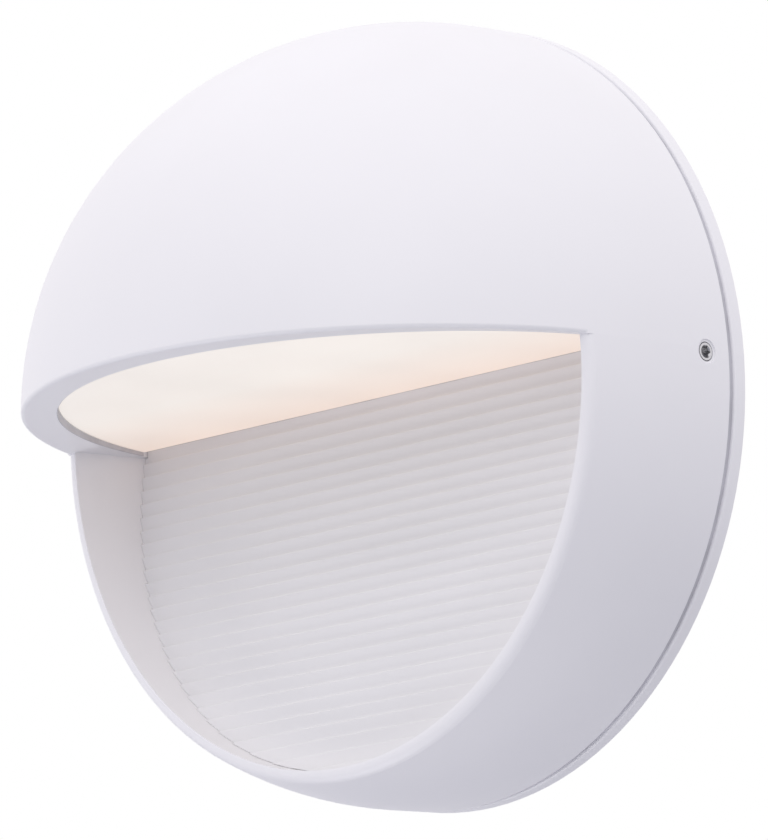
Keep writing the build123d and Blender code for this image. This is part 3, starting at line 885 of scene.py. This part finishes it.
@dataclass
class RibbedReflector:
    """Leaning reflector with saw-tooth ribs, a flange behind the housing's shoulder and two bosses."""

    shop: Workshop
    recess_radius: float = 75.40 * MM
    depth: float = 21.0 * MM
    lean: float = LEAN
    pitch: float = 3.0 * MM
    ledge: float = 0.9 * MM
    first_height: float = 1.0 * MM
    ribs: int = 26
    steps_per_rib: int = 6
    columns: int = 129
    top_height: float = 3.64 * MM
    step_height: float = 2.42 * MM
    top_half_width: float = 74.48 * MM
    panel_offset: float = 2.2 * MM
    back_offset: float = 2.5 * MM
    flange_offset: float = 0.5 * MM
    flange_radius: float = 79.6 * MM
    dome_centre: float = DOME_CENTRE
    notch_half_width: float = 78.1 * MM
    notch_height: float = 4.8 * MM
    boss_radius: float = 3.2 * MM
    boss_rounding: float = 0.5 * MM
    boss_x: float = 5.5 * MM
    boss_height: float = -36.0 * MM
    boss_start: float = 22.1 * MM
    boss_segments: int = 32
    flange_steps: int = 180
    search_steps: int = 40
    tip_shares: Outline = (
        (0.0, 0.0),
        (0.0, 0.92),
        (0.02, 0.965),
        (0.06, 0.94),
        (0.55, 0.45),
        (0.965, 0.05),
        (1.0, 0.0),
    )

    def tree(self) -> NodeTree:
        """Geometry tree of the ribbed panel.

        Rows 0 to 2 of its grid are the plain strip over the ribs. Each rib takes up the next steps_per_rib
        rows, which follow tip_shares.

        Returns:
            The tree; its rows follow the rib rule and its ends follow the round recess.
        """
        length = "NodeSocketFloat"
        build = GeometryTree(
            "rib_panel",
            {
                "Radius": (length, self.recess_radius),
                "Depth": (length, self.depth),
                "Lean": (length, self.lean),
                "Pitch": (length, self.pitch),
                "Ledge": (length, self.ledge),
                "First Height": (length, self.first_height),
                "Step": (length, self.step_height),
                "Ribs": ("NodeSocketInt", self.ribs),
                "Columns": ("NodeSocketInt", self.columns),
                "Top": (length, self.top_height),
                "Top Half Width": (length, self.top_half_width),
                "Back": (length, self.panel_offset),
                "Material": ("NodeSocketMaterial", None),
            },
        )
        graph, given = build.graph, build.given
        rib_rows = float(self.steps_per_rib)
        last_row = graph.plus(graph.times(given["Ribs"], rib_rows), 3.0)
        inputs = {"Size X": 2.0, "Size Y": 1.0, "Vertices X": given["Columns"]}
        grid = graph.add("GeometryNodeMeshGrid", {**inputs, "Vertices Y": graph.plus(last_row, 1.0)})
        place = graph.split(graph.add("GeometryNodeInputPosition").outputs[0])
        row = graph.math("ROUND", graph.times(graph.minus(0.5, place.outputs["Y"]), last_row))
        height, out_share = self.row_height(build, row)
        depth = self.row_depth(build, row, height, out_share)
        x = graph.times(place.outputs["X"], self.row_half_width(build, row, height))
        front = graph.xyz(x, graph.times(depth, -1.0), height)
        inputs = {"Geometry": grid.outputs[0], "Position": front}
        shaped = graph.add("GeometryNodeSetPosition", inputs).outputs[0]
        return build.end(self.thickened(build, shaped))

    def row_height(self, build: GeometryTree, row: Socket) -> tuple[Socket, Socket]:
        """Height of each row of the panel, no lower than the recess's lowest point.

        Args:
            build: the tree.
            row: number of the row, 0 at the top.

        Returns:
            The height, and how far out the row stands between the shoulder, 0, and the tips, 1.
        """
        graph, given = build.graph, build.given
        rib_rows = float(self.steps_per_rib)
        step = graph.math("MAXIMUM", graph.minus(row, 3.0), 0.0)
        rib = graph.math("FLOOR", graph.over(graph.plus(step, 0.001), rib_rows))
        phase = graph.over(graph.minus(step, graph.times(rib, rib_rows)), rib_rows)
        drop_share = self.curve(graph, phase, [share[0] for share in self.tip_shares])
        out_share = self.curve(graph, phase, [share[1] for share in self.tip_shares])
        down = graph.times(graph.plus(rib, drop_share), given["Pitch"])
        rib_height = graph.minus(given["First Height"], down)
        is_top = graph.math("LESS_THAN", row, 0.5)
        strip_height = self.mix(graph, is_top, given["Step"], given["Top"])
        is_strip = graph.math("LESS_THAN", row, 2.5)
        chosen = self.mix(graph, is_strip, rib_height, strip_height)
        return graph.math("MAXIMUM", chosen, graph.times(given["Radius"], -1.0)), out_share

    def row_depth(self, build: GeometryTree, row: Socket, height: Socket, out_share: Socket) -> Socket:
        """Distance of each row from the wall.

        Args:
            build: the tree.
            row: number of the row, 0 at the top.
            height: the row's height.
            out_share: how far out the row stands, from 0 to 1.

        Returns:
            The distance, on the ribs by out_share and on the strip by height.
        """
        graph, given = build.graph, build.given
        tip = graph.minus(given["Depth"], graph.times(given["Lean"], height))
        rib_depth = graph.minus(tip, graph.times(given["Ledge"], graph.minus(1.0, out_share)))
        drop = graph.minus(given["Top"], given["First Height"])
        run = graph.over(graph.minus(given["Top"], height), drop)
        strip_depth = graph.minus(tip, graph.times(given["Ledge"], run))
        return self.mix(graph, graph.math("LESS_THAN", row, 2.5), rib_depth, strip_depth)

    def row_half_width(self, build: GeometryTree, row: Socket, height: Socket) -> Socket:
        """Half the width of each row.

        Args:
            build: the tree.
            row: number of the row, 0 at the top.
            height: the row's height.

        Returns:
            The recess's half width at that height, or the strip's own in the two top rows.
        """
        graph, given = build.graph, build.given
        radius = given["Radius"]
        square = graph.minus(graph.times(radius, radius), graph.times(height, height))
        chord = graph.math("SQRT", graph.math("MAXIMUM", square, 0.0))
        return self.mix(graph, graph.math("LESS_THAN", row, 1.5), chord, given["Top Half Width"])

    def thickened(self, build: GeometryTree, front: Socket) -> Socket:
        """Close the panel with a flat back behind its ribs.

        Args:
            build: the tree.
            front: socket with the ribbed skin.

        Returns:
            The closed panel's socket.
        """
        graph, given = build.graph, build.given
        inputs = {"Mesh": front, "Offset Scale": 0.0, "Individual": False}
        pushed = graph.add("GeometryNodeExtrudeMesh", inputs, mode="FACES").outputs
        here = graph.split(graph.add("GeometryNodeInputPosition").outputs[0]).outputs
        plane = graph.minus(given["Depth"], graph.times(given["Lean"], here["Z"]))
        behind = graph.minus(graph.plus(given["Ledge"], given["Back"]), plane)
        back = graph.xyz(here["X"], behind, here["Z"])
        inputs = {"Geometry": pushed["Mesh"], "Selection": pushed["Top"], "Position": back}
        shell = graph.add("GeometryNodeSetPosition", inputs).outputs[0]
        flipped = graph.add("GeometryNodeFlipFaces", {0: shell}).outputs[0]
        joined = graph.add("GeometryNodeJoinGeometry")
        graph.feed(joined.inputs[0], flipped)
        graph.feed(joined.inputs[0], front)
        inputs = {"Geometry": joined.outputs[0], "Distance": MERGE}
        return graph.add("GeometryNodeMergeByDistance", inputs).outputs[0]

    def curve(self, graph: Graph, value: Socket, points: Sequence[float]) -> Socket:
        """Straight-line curve through evenly spaced points.

        Args:
            graph: the tree's graph.
            value: where to read the curve, from 0 to 1.
            points: heights of the curve at even steps.

        Returns:
            The curve's output socket.
        """
        node = graph.add("ShaderNodeFloatCurve", {"Value": value})
        line = node.mapping.curves[0]
        last = len(points) - 1
        line.points[0].location = (0.0, points[0])
        line.points[-1].location = (1.0, points[-1])
        for index in range(1, last):
            line.points.new(index / last, points[index])
        for point in line.points:
            point.handle_type = "VECTOR"
        node.mapping.update()
        return node.outputs[0]

    def mix(self, graph: Graph, share: Socket, first: Socket, second: Socket) -> Socket:
        """Number between two numbers.

        Args:
            graph: the tree's graph.
            share: 0 for the first number, 1 for the second.
            first: socket with the first number.
            second: socket with the second number.

        Returns:
            The mixed number's socket.
        """
        node = graph.add("ShaderNodeMix", data_type="FLOAT")
        for index, value in ((0, share), (2, first), (3, second)):
            graph.feed(node.inputs[index], value)
        return node.outputs[0]

    def shoulder(self, height: float) -> float:
        """Depth of the shoulder plane at a height."""
        return self.depth - self.lean * height - self.ledge

    def flange(self, bm: BMesh) -> None:
        """Add the flange that lies behind the housing's shoulder.

        Args:
            bm: mesh that it goes into.
        """
        rows = []
        for offset in (self.flange_offset, self.back_offset):
            angles = (-math.pi * step / self.flange_steps for step in range(self.flange_steps + 1))
            rows.append([self.flange_point(angle, offset) for angle in angles])
        loft(rows, bm)

    def flange_point(self, angle: float, offset: float) -> Vector:
        """Point of the flange's outline.

        Args:
            angle: direction round the middle, 0 at the right and -pi at the left.
            offset: distance behind the shoulder plane.

        Returns:
            The point in the light.
        """
        cosine, sine = math.cos(angle), math.sin(angle)
        low, high = 0.0, self.flange_radius
        for _ in range(self.search_steps):
            reach = (low + high) / 2
            away = self.shoulder(reach * sine) - offset - self.dome_centre
            if reach * reach + away * away > self.flange_radius**2:
                high = reach
            else:
                low = reach
        x, height = low * cosine, low * sine
        if abs(height) < self.notch_height:
            x = max(-self.notch_half_width, min(self.notch_half_width, x))
        return Vector((x, offset - self.shoulder(height), height))

    def boss(self, side: Side, bm: BMesh) -> None:
        """Add one boss that carries the terminal block.

        Args:
            side: side of the middle that it stands on.
            bm: mesh that it goes into.
        """
        start = Vector((side.value * self.boss_x, -self.boss_start, self.boss_height))
        length = self.shoulder(self.boss_height) - self.boss_start - self.flange_offset
        profile = (
            (0.0, 0.0),
            (self.boss_radius * 0.8, 0.0),
            (self.boss_radius, self.boss_rounding),
            (self.boss_radius * 1.1, length),
            (0.0, length),
        )
        axes = place_of(start, (0.0, -1.0, 0.0))
        rings = (circle(radius, height, self.boss_segments) for radius, height in profile)
        loft([[axes @ point for point in ring] for ring in rings], bm)

    def build(self) -> None:
        """Make the reflector and put it in the housing."""
        slot = "white_moulding"
        panel = run_nodes("rib_panel", self.tree(), {"Material": self.shop.material(slot)})
        bm = bmesh.new()
        self.flange(bm)
        for side in Side:
            self.boss(side, bm)
        bmesh.ops.recalc_face_normals(bm, faces=bm.faces)
        bm.from_mesh(panel)
        bmesh.ops.remove_doubles(bm, verts=bm.verts, dist=0.1 * MERGE)
        mesh = bpy.data.meshes.new("reflector")
        bm.to_mesh(mesh)
        bm.free()
        self.shop.place("reflector_ribs", mesh, Body.FRONT, slot, ("ribbed_reflector",), 42.0)


def solids_of(node: str) -> list[list[Vector]]:
    """Corner points of each separate solid of a node.

    Args:
        node: the node's name.

    Returns:
        One list of points for each solid, from left to right.
    """
    bm = bmesh.new()
    bm.from_mesh(frame["nodes"][node].data)
    bmesh.ops.remove_doubles(bm, verts=bm.verts, dist=MERGE)
    waiting = set(bm.verts)
    solids = []
    while waiting:
        reached = [waiting.pop()]
        for vert in reached:
            for edge in vert.link_edges:
                other = edge.other_vert(vert)
                if other in waiting:
                    waiting.remove(other)
                    reached.append(other)
        solids.append([vert.co.copy() for vert in reached])
    bm.free()
    return sorted(solids, key=lambda points: tuple(round(axis, 5) for axis in middle_of(points)))


def middle_of(points: Sequence[Vector]) -> Vector:
    """Middle of the box round some points."""
    return Vector([(min(axis) + max(axis)) / 2 for axis in zip(*points)])


class PointTree:
    """Geometry tree that sets one master piece on each point of a mesh."""

    @staticmethod
    @cache
    def tree() -> NodeTree:
        """The tree, built once.

        Returns:
            A tree with the master, its direction, its greatest turn and a seed as inputs.
        """
        build = GeometryTree(
            "pieces_on_points",
            {
                "Master": ("NodeSocketObject", None),
                "Direction": ("NodeSocketVector", (0.0, 0.0, 1.0)),
                "Turn": ("NodeSocketFloat", 0.0),
                "Seed": ("NodeSocketInt", 3),
                "Material": ("NodeSocketMaterial", None),
            },
        )
        graph, given = build.graph, build.given
        points = graph.add("GeometryNodeMeshToPoints", {0: given["Geometry"]}).outputs[0]
        master = graph.add("GeometryNodeObjectInfo", {"Object": given["Master"]}).outputs["Geometry"]
        inputs = {"Vector": given["Direction"]}
        facing = graph.add("FunctionNodeAlignRotationToVector", inputs, axis="Z").outputs[0]
        spin = graph.add("FunctionNodeRandomValue", {"Seed": given["Seed"]}, data_type="FLOAT")
        graph.feed(spin.inputs[3], given["Turn"])
        inputs = {"Points": points, "Instance": master, "Rotation": facing}
        placed = graph.add("GeometryNodeInstanceOnPoints", inputs).outputs[0]
        local = graph.xyz(0.0, 0.0, spin.outputs[1])
        inputs = {"Instances": placed, "Rotation": local, "Local Space": True}
        return build.end(graph.add("GeometryNodeRotateInstances", inputs).outputs[0])

    @classmethod
    def spread(
        cls,
        name: str,
        master: Mesh,
        points: Sequence[Vector],
        facing: Facing,
        turn: float,
        material: bpy.types.Material,
    ) -> Mesh:
        """Set copies of a master on points.

        Args:
            name: name of the result.
            master: mesh of one piece, with Z as its way out.
            points: where the pieces go.
            facing: the way they face.
            turn: greatest turn about their own axis.
            material: their finish.

        Returns:
            One plain mesh with all the copies.
        """
        start = bpy.data.meshes.new(name + "_points")
        start.from_pydata([tuple(point) for point in points], [], [])
        carrier = bpy.data.objects.new(name + "_master", master)
        bpy.context.scene.collection.objects.link(carrier)
        values = {"Master": carrier, "Direction": facing.value, "Turn": turn, "Material": material}
        mesh = run_nodes(name, cls.tree(), values, start)
        bpy.data.objects.remove(carrier)
        return mesh


@dataclass(frozen=True)
class ScrewKind:
    """One size of pan-head screw with a cross recess."""

    shank_radius: float
    head_radius: float
    head_height: float
    thread_pitch: float
    tip_share: float = 0.72
    root_share: float = 0.84
    cross_length: float = 0.52
    cross_width: float = 0.14
    steps: int = 4
    dome: Outline = ((0.94, 0.0), (1.0, 0.12), (0.99, 0.5), (0.94, 0.78), (0.84, 0.93), (0.68, 1.0))
    recess: Outline = ((0.0, 1.0), (0.12, 0.95), (0.55, 0.8))
    recess_point: float = 0.65

    def cross(self) -> list[tuple[float, float]]:
        """Outline of the cross recess.

        Returns:
            Its points as shares of the head's radius, anticlockwise.
        """
        long, wide = self.cross_length, self.cross_width
        corners = []
        for quarter in range(4):
            cosine, sine = math.cos(quarter * math.pi / 2), math.sin(quarter * math.pi / 2)
            for x, y in ((long, -wide), (long, wide), (wide, wide)):
                corners.append((x * cosine - y * sine, x * sine + y * cosine))
        outline = []
        for (x, y), (next_x, next_y) in zip(corners, corners[1:] + corners[:1]):
            for index in range(self.steps):
                share = index / self.steps
                outline.append((x + (next_x - x) * share, y + (next_y - y) * share))
        return outline

    def profile(self, length: float) -> list[tuple[float, float]]:
        """Radius and height from the tip to the crown, tip at zero.

        Args:
            length: whole length of the screw.

        Returns:
            The outline of the threaded shank and the domed head.
        """
        seat = length - self.head_height
        points = [(self.shank_radius * self.tip_share, 0.0)]
        height = self.thread_pitch / 2
        while height < seat - self.thread_pitch:
            points.append((self.shank_radius, height))
            points.append((self.shank_radius * self.root_share, height + self.thread_pitch / 2))
            height += self.thread_pitch
        points.append((self.shank_radius, seat))
        return points + [(self.head_radius * out, seat + self.head_height * up) for out, up in self.dome]

    def mesh(self, length: float) -> Mesh:
        """One screw that stands on its tip and points up.

        Args:
            length: whole length of the screw.

        Returns:
            The screw's mesh.
        """
        outline = self.cross()
        angles = [math.atan2(y, x) for x, y in outline]
        rows = [circle(0.0, 0.0, 1)]
        for radius, height in self.profile(length):
            around = [(radius * math.cos(angle), radius * math.sin(angle)) for angle in angles]
            rows.append([Vector((x, y, height)) for x, y in around])
        for drop, shrink in self.recess:
            scale, height = self.head_radius * shrink, length - self.head_height * drop
            rows.append([Vector((x * scale, y * scale, height)) for x, y in outline])
        rows.append(circle(0.0, length - self.head_height * self.recess_point, 1))
        return skinned("screw", rows)


@dataclass
class Fasteners:
    """All the pan-head screws that ride with the housing."""

    shop: Workshop
    m25: ScrewKind = ScrewKind(1.25 * MM, 2.0 * MM, 1.5 * MM, 0.45 * MM)
    m3: ScrewKind = ScrewKind(1.5 * MM, 2.8 * MM, 1.8 * MM, 0.5 * MM)
    m3_narrow: ScrewKind = ScrewKind(1.5 * MM, 2.4 * MM, 1.8 * MM, 0.5 * MM)
    m4: ScrewKind = ScrewKind(2.0 * MM, 3.8 * MM, 2.4 * MM, 0.7 * MM)
    tip_band: float = 0.01 * MM

    def row(self, node: str, kind: ScrewKind, facing: Facing) -> None:
        """Put screws where a node's solids are.

        Args:
            node: node whose solids the screws stand for.
            kind: size of the screws.
            facing: the way their heads point.
        """
        way = Vector(facing.value).normalized()
        tips, length = [], 0.0
        for points in solids_of(node):
            reach = [point.dot(way) for point in points]
            low = min(reach)
            length = max(reach) - low
            tip = [point for point, along in zip(points, reach) if along < low + self.tip_band]
            tips.append(middle_of(tip))
        slot = self.shop.node_slots[node]
        material = self.shop.material(slot)
        mesh = PointTree.spread(node + "_pan_heads", kind.mesh(length), tips, facing, math.pi, material)
        self.shop.place(node + "_pan_heads", mesh, Body.FRONT, slot, (node,), 35.0)

    def build(self) -> None:
        """Make every group of screws."""
        self.row("reflector_screws", self.m25, Facing.LEANING)
        self.row("tray_screws", self.m4, Facing.WALL)
        self.row("earth_screw", self.m4, Facing.WALL)
        self.row("terminal_block_screws", self.m3, Facing.WALL)
        self.row("terminal_clamp_screws", self.m3_narrow, Facing.WALL)
        self.row("led_board_screws", self.m3, Facing.DOWN)
        self.row("driver_screws", self.m3, Facing.UP)


@dataclass
class SideScrew:
    """Socket set screw in the side of the housing."""

    shop: Workshop
    side: Side
    outer_end: float = 82.2 * MM
    depth: float = 11.0 * MM
    radius: float = 2.0 * MM
    length: float = 4.0 * MM
    pitch: float = 0.7 * MM
    thread_depth: float = 0.25 * MM
    chamfer: float = 0.2 * MM
    mouth_radius: float = 1.36 * MM
    mouth_depth: float = 0.3 * MM
    socket_width: float = 2.25 * MM
    socket_depth: float = 2.5 * MM
    socket_point: float = 0.4 * MM
    tip_hollow: float = 0.3 * MM
    segments: int = 72
    rows_per_turn: int = 8

    def hexagon(self, width: float, height: float) -> Ring:
        """Six-sided ring of points.

        Args:
            width: its width across the flats.
            height: its height, zero at the outer end.

        Returns:
            The points, anticlockwise.
        """
        points = []
        for point in circle(width / 2, height, self.segments):
            angle = math.atan2(point.y, point.x) % (math.pi / 3) - math.pi / 6
            points.append(Vector((point.x / math.cos(angle), point.y / math.cos(angle), height)))
        return points

    def thread(self) -> list[Ring]:
        """Rings of the thread, each point set in by its place on the helix.

        Returns:
            The rings, from the inner end to the outer end.
        """
        rows = []
        start, end = self.chamfer - self.length, -self.chamfer
        count = round((end - start) / self.pitch * self.rows_per_turn)
        for index in range(count + 1):
            height = start + (end - start) * index / count
            ring = []
            for point in circle(1.0, height, self.segments):
                turns = height / self.pitch - math.atan2(point.y, point.x) / FULL_TURN
                groove = abs((turns % 1.0) * 2.0 - 1.0)
                radius = self.radius - self.thread_depth * groove
                ring.append(Vector((point.x * radius, point.y * radius, height)))
            rows.append(ring)
        return rows

    def build(self) -> None:
        """Make the screw and put it on its own body."""
        rim, inner = self.radius - self.chamfer, -self.length
        hollow = inner + self.tip_hollow
        ends = ((0.0, hollow), (rim * 0.6, hollow), (rim * 0.8, inner), (rim * 0.9, inner))
        rows = [circle(radius, height, self.segments) for radius, height in ends]
        rows += self.thread()
        rows += [circle(radius, 0.0, self.segments) for radius in (rim, self.mouth_radius)]
        rows += [self.hexagon(self.socket_width, -depth) for depth in (self.mouth_depth, self.socket_depth)]
        rows.append(circle(0.0, -self.socket_depth - self.socket_point, 1))
        name = "side_screw_right" if self.side is Side.RIGHT else "side_screw_left"
        body = Body.RIGHT_SCREW if self.side is Side.RIGHT else Body.LEFT_SCREW
        mesh = skinned(name, rows)
        way = (float(self.side.value), 0.0, 0.0)
        mesh.transform(place_of(Vector((self.side.value * self.outer_end, -self.depth, 0.0)), way))
        self.shop.place(name + "_socket", mesh, body, self.shop.node_slots[name], (name,), 30.0)


@dataclass
class PaintedNodes:
    """Nodes of the model that keep their shape and get a finish."""

    shop: Workshop
    nodes: tuple[str, ...] = ()

    def dress(self) -> None:
        """Paint each node."""
        for node in self.nodes:
            self.shop.paint_node(node)


@dataclass
class LightEngine(PaintedNodes):
    """Diffuser, light box, tray and board, with the LED packages on the board's underside."""

    nodes: tuple[str, ...] = ("diffuser", "diffuser_gasket", "light_box", "led_tray", "led_board")
    half_width: float = 1.4 * MM
    half_length: float = 1.75 * MM
    half_height: float = 0.4 * MM
    mouth_radius: float = 1.2 * MM
    floor_radius: float = 1.0 * MM
    cup_depth: float = 0.22 * MM
    fill_gap: float = 0.01 * MM
    fill_drops: Outline = ((1.09, 0.06 * MM), (0.7, 0.03 * MM), (0.0, 0.02 * MM))
    corner: float = 7.0
    segments: int = 24

    def outline(self, scale: float, height: float) -> Ring:
        """Rounded oblong ring of one package.

        Args:
            scale: share of the package's full width and length.
            height: its height.

        Returns:
            The points, anticlockwise from X.
        """
        points = []
        for point in circle(1.0, height, self.segments):
            x, y = (math.copysign(abs(part) ** (2.0 / self.corner), part) for part in point.xy)
            points.append(Vector((x * self.half_width * scale, y * self.half_length * scale, height)))
        return points

    def package(self) -> Mesh:
        """White package with a round cup, facing up.

        Returns:
            The package's mesh.
        """
        top = self.half_height
        sides = ((0.97, -top), (1.0, -top * 0.8), (1.0, top * 0.75), (0.95, top))
        floor = top - self.cup_depth
        cup = ((self.mouth_radius, top), (self.floor_radius, floor), (0.0, floor))
        rows = [circle(0.0, -top, 1)]
        rows += [self.outline(scale, height) for scale, height in sides]
        rows += [circle(radius, height, self.segments) for radius, height in cup]
        return skinned("package", rows)

    def fill(self) -> Mesh:
        """Lens of phosphor in the cup, a little below the rim.

        Returns:
            The lens's mesh.
        """
        low = self.half_height - self.cup_depth + self.fill_gap
        sides = [(0.0, low), (1.0, low)]
        sides += [(share, self.half_height - drop) for share, drop in self.fill_drops]
        rows = [circle(self.floor_radius * share, height, self.segments) for share, height in sides]
        return skinned("phosphor", rows)

    def build(self) -> None:
        """Set the packages on the board and dress the other nodes."""
        places = [middle_of(points) for points in solids_of("led_chips")]
        yellow = self.shop.node_slots["led_chips"]
        layers = (
            ("led_packages", self.package(), "white_moulding", ()),
            ("led_phosphor", self.fill(), yellow, ("led_chips",)),
        )
        for name, master, slot, nodes in layers:
            material = self.shop.material(slot)
            mesh = PointTree.spread(name, master, places, Facing.DOWN, 0.0, material)
            self.shop.place(name, mesh, Body.FRONT, slot, nodes)
        self.dress()


@dataclass
class WellTrim:
    """Thin grey lip that lines the edge of the hood's opening under the diffuser."""

    shop: Workshop
    radius: float = 74.97 * MM
    thickness: float = 0.25 * MM
    centre: float = DOME_CENTRE
    back: float = 21.6 * MM
    low_height: float = 1.95 * MM
    low_rise: float = 0.036
    high_height: float = 2.2 * MM
    high_rise: float = 0.059
    segments: int = 160

    def section(self, angle: float) -> Ring:
        """Cross-section of the lip.

        Args:
            angle: direction round the dome's axis, 0 at the right.

        Returns:
            Its four corners.
        """
        corners = []
        for inset, top in ((0.0, False), (0.0, True), (1.0, True), (1.0, False)):
            reach = self.radius - self.thickness * inset
            depth = self.centre + reach * math.sin(angle)
            low = self.low_height + self.low_rise * depth
            high = self.high_height + self.high_rise * depth
            corners.append(Vector((reach * math.cos(angle), -depth, high if top else low)))
        return corners

    def build(self) -> None:
        """Make the lip and put it in the hood."""
        start = math.asin((self.back - self.centre) / self.radius)
        turn = (math.pi - 2.0 * start) / self.segments
        rows = [self.section(start + turn * index) for index in range(self.segments + 1)]
        mesh = skinned("well_trim", rows, closed=True)
        self.shop.place("well_trim", mesh, Body.FRONT, "grey_rubber")


@dataclass
class WallPlate(PaintedNodes):
    """Round plate on the wall with its foam ring, gasket and cable grommet."""

    nodes: tuple[str, ...] = ("mounting_plate", "wall_gasket", "housing_gasket", "cable_grommet")


@dataclass
class HousingShell(PaintedNodes):
    """Cast hood and lower shell in one, with the seal round the reflector."""

    nodes: tuple[str, ...] = ("housing", "reflector_seal")


@dataclass
class Wiring(PaintedNodes):
    """LED driver, terminal block and the leads between them."""

    nodes: tuple[str, ...] = (
        "led_driver",
        "terminal_block",
        "terminal_sleeves",
        "live_lead",
        "neutral_lead",
        "earth_lead",
        "earth_lug",
        "led_lead_positive",
        "led_lead_negative",
    )


@dataclass(frozen=True)
class SoftLamp:
    """Round area lamp that points at the light."""

    name: str
    place: tuple[float, float, float]
    size: float
    power: float
    colour: Colour

    def build(self) -> None:
        """Put the lamp in the studio."""
        data = bpy.data.lights.new(self.name, "AREA")
        data.shape = "DISK"
        data.size = self.size
        data.energy = self.power
        data.color = self.colour
        lamp = bpy.data.objects.new(self.name, data)
        lamp.matrix_world = place_of(Vector(self.place), self.place)
        bpy.context.scene.collection.objects.link(lamp)


KEY_LAMP = SoftLamp("key", (1.0, -1.6, 0.9), 1.2, 4.0, (1.0, 0.99, 0.99))
BOUNCE_LAMP = SoftLamp("bounce", (-0.8, -0.5, -1.3), 0.8, 6.0, (1.0, 0.98, 0.99))


@dataclass
class Studio:
    """Camera, soft light and pale floor."""

    azimuth: float = 45.166
    elevation: float = -9.736
    roll: float = -3.315
    target: tuple[float, float, float] = (-0.0220, 0.0, 0.0038)
    distance: float = 1.6135
    lens: float = 325.3
    sensor_width: float = 36.0
    nearest: float = 0.05
    farthest: float = 20.0
    floor_height: float = -1.45
    floor_half_size: float = 0.8
    floor_steps: int = 8
    floor_tones: tuple[Colour, Colour] = ((0.80, 0.80, 0.81), (0.83, 0.83, 0.84))
    floor_roughness: float = 0.8
    sky: Colour = (1.015, 0.99, 1.02)
    ground: Colour = (0.30, 0.305, 0.37)
    horizon: tuple[float, float] = (-0.48, 0.03)
    sky_strength: float = 1.03
    lamps: tuple[SoftLamp, ...] = (KEY_LAMP, BOUNCE_LAMP)

    def camera(self) -> None:
        """Set the camera where the photograph was taken from."""
        side, tilt, roll = (math.radians(angle) for angle in (self.azimuth, self.elevation, self.roll))
        back = Vector((math.sin(side) * math.cos(tilt), -math.cos(side) * math.cos(tilt), math.sin(tilt)))
        level = Vector((math.cos(side), math.sin(side), 0.0))
        above = back.cross(level)
        right = level * math.cos(roll) + above * math.sin(roll)
        up = above * math.cos(roll) - level * math.sin(roll)
        data = bpy.data.cameras.new("camera")
        data.lens = self.lens
        data.sensor_width = self.sensor_width
        data.sensor_fit = "AUTO"
        data.clip_start = self.nearest
        data.clip_end = self.farthest
        camera = bpy.data.objects.new("camera", data)
        turn = Matrix((right, up, back)).transposed().to_4x4()
        camera.matrix_world = Matrix.Translation(Vector(self.target) + back * self.distance) @ turn
        bpy.context.scene.collection.objects.link(camera)
        bpy.context.scene.camera = camera

    def world(self) -> None:
        """White behind the light, and a soft sky that is dimmer and cooler below."""
        world = bpy.data.worlds.new("studio")
        world.use_nodes = True
        bpy.context.scene.world = world
        graph = Graph(world.node_tree)
        world.node_tree.nodes.clear()
        direction = graph.add("ShaderNodeTexCoord").outputs["Generated"]
        height = graph.remap(graph.split(direction).outputs["Z"], *self.horizon)
        colour = graph.blend(height, (*self.ground, 1.0), (*self.sky, 1.0))
        inputs = {"Color": colour, "Strength": self.sky_strength}
        soft = graph.add("ShaderNodeBackground", inputs).outputs[0]
        inputs = {"Color": (1.0, 1.0, 1.0, 1.0), "Strength": 1.0}
        white = graph.add("ShaderNodeBackground", inputs).outputs[0]
        seen = graph.add("ShaderNodeLightPath").outputs["Is Camera Ray"]
        mixed = graph.add("ShaderNodeMixShader", {0: seen, 1: soft, 2: white}).outputs[0]
        graph.add("ShaderNodeOutputWorld", {"Surface": mixed})

    def floor(self) -> None:
        """Lay a pale floor well below the light."""
        bm = bmesh.new()
        steps = self.floor_steps
        bmesh.ops.create_grid(bm, x_segments=steps, y_segments=steps, size=self.floor_half_size)
        bmesh.ops.translate(bm, verts=bm.verts, vec=(0.0, 0.0, self.floor_height))
        mesh = bpy.data.meshes.new("floor")
        bm.to_mesh(mesh)
        bm.free()
        material = bpy.data.materials.new("pale_floor")
        material.use_nodes = True
        graph = Graph(material.node_tree)
        shader = material.node_tree.nodes["Principled BSDF"]
        tone = graph.remap(graph.noise(3.0), 0.3, 0.7)
        dark, light = ((*colour, 1.0) for colour in self.floor_tones)
        graph.feed(shader.inputs["Base Color"], graph.blend(tone, dark, light))
        shader.inputs["Roughness"].default_value = self.floor_roughness
        mesh.materials.append(material)
        floor = bpy.data.objects.new("floor", mesh)
        bpy.context.scene.collection.objects.link(floor)

    def build(self) -> None:
        """Set up the whole studio."""
        view = bpy.context.scene.view_settings
        view.view_transform = "Standard"
        view.look = "None"
        self.camera()
        self.world()
        self.floor()
        for lamp in self.lamps:
            lamp.build()


def main() -> None:
    """Build the light's pieces in order and set up the studio."""
    logging.basicConfig(level=logging.INFO, format="%(name)s: %(message)s")
    shop = Workshop()
    Studio().build()
    WallPlate(shop).dress()
    HousingShell(shop).dress()
    RibbedReflector(shop).build()
    LightEngine(shop).build()
    WellTrim(shop).build()
    Wiring(shop).dress()
    Fasteners(shop).build()
    for side in Side:
        SideScrew(shop, side).build()


if __name__ == "__main__":
    main()
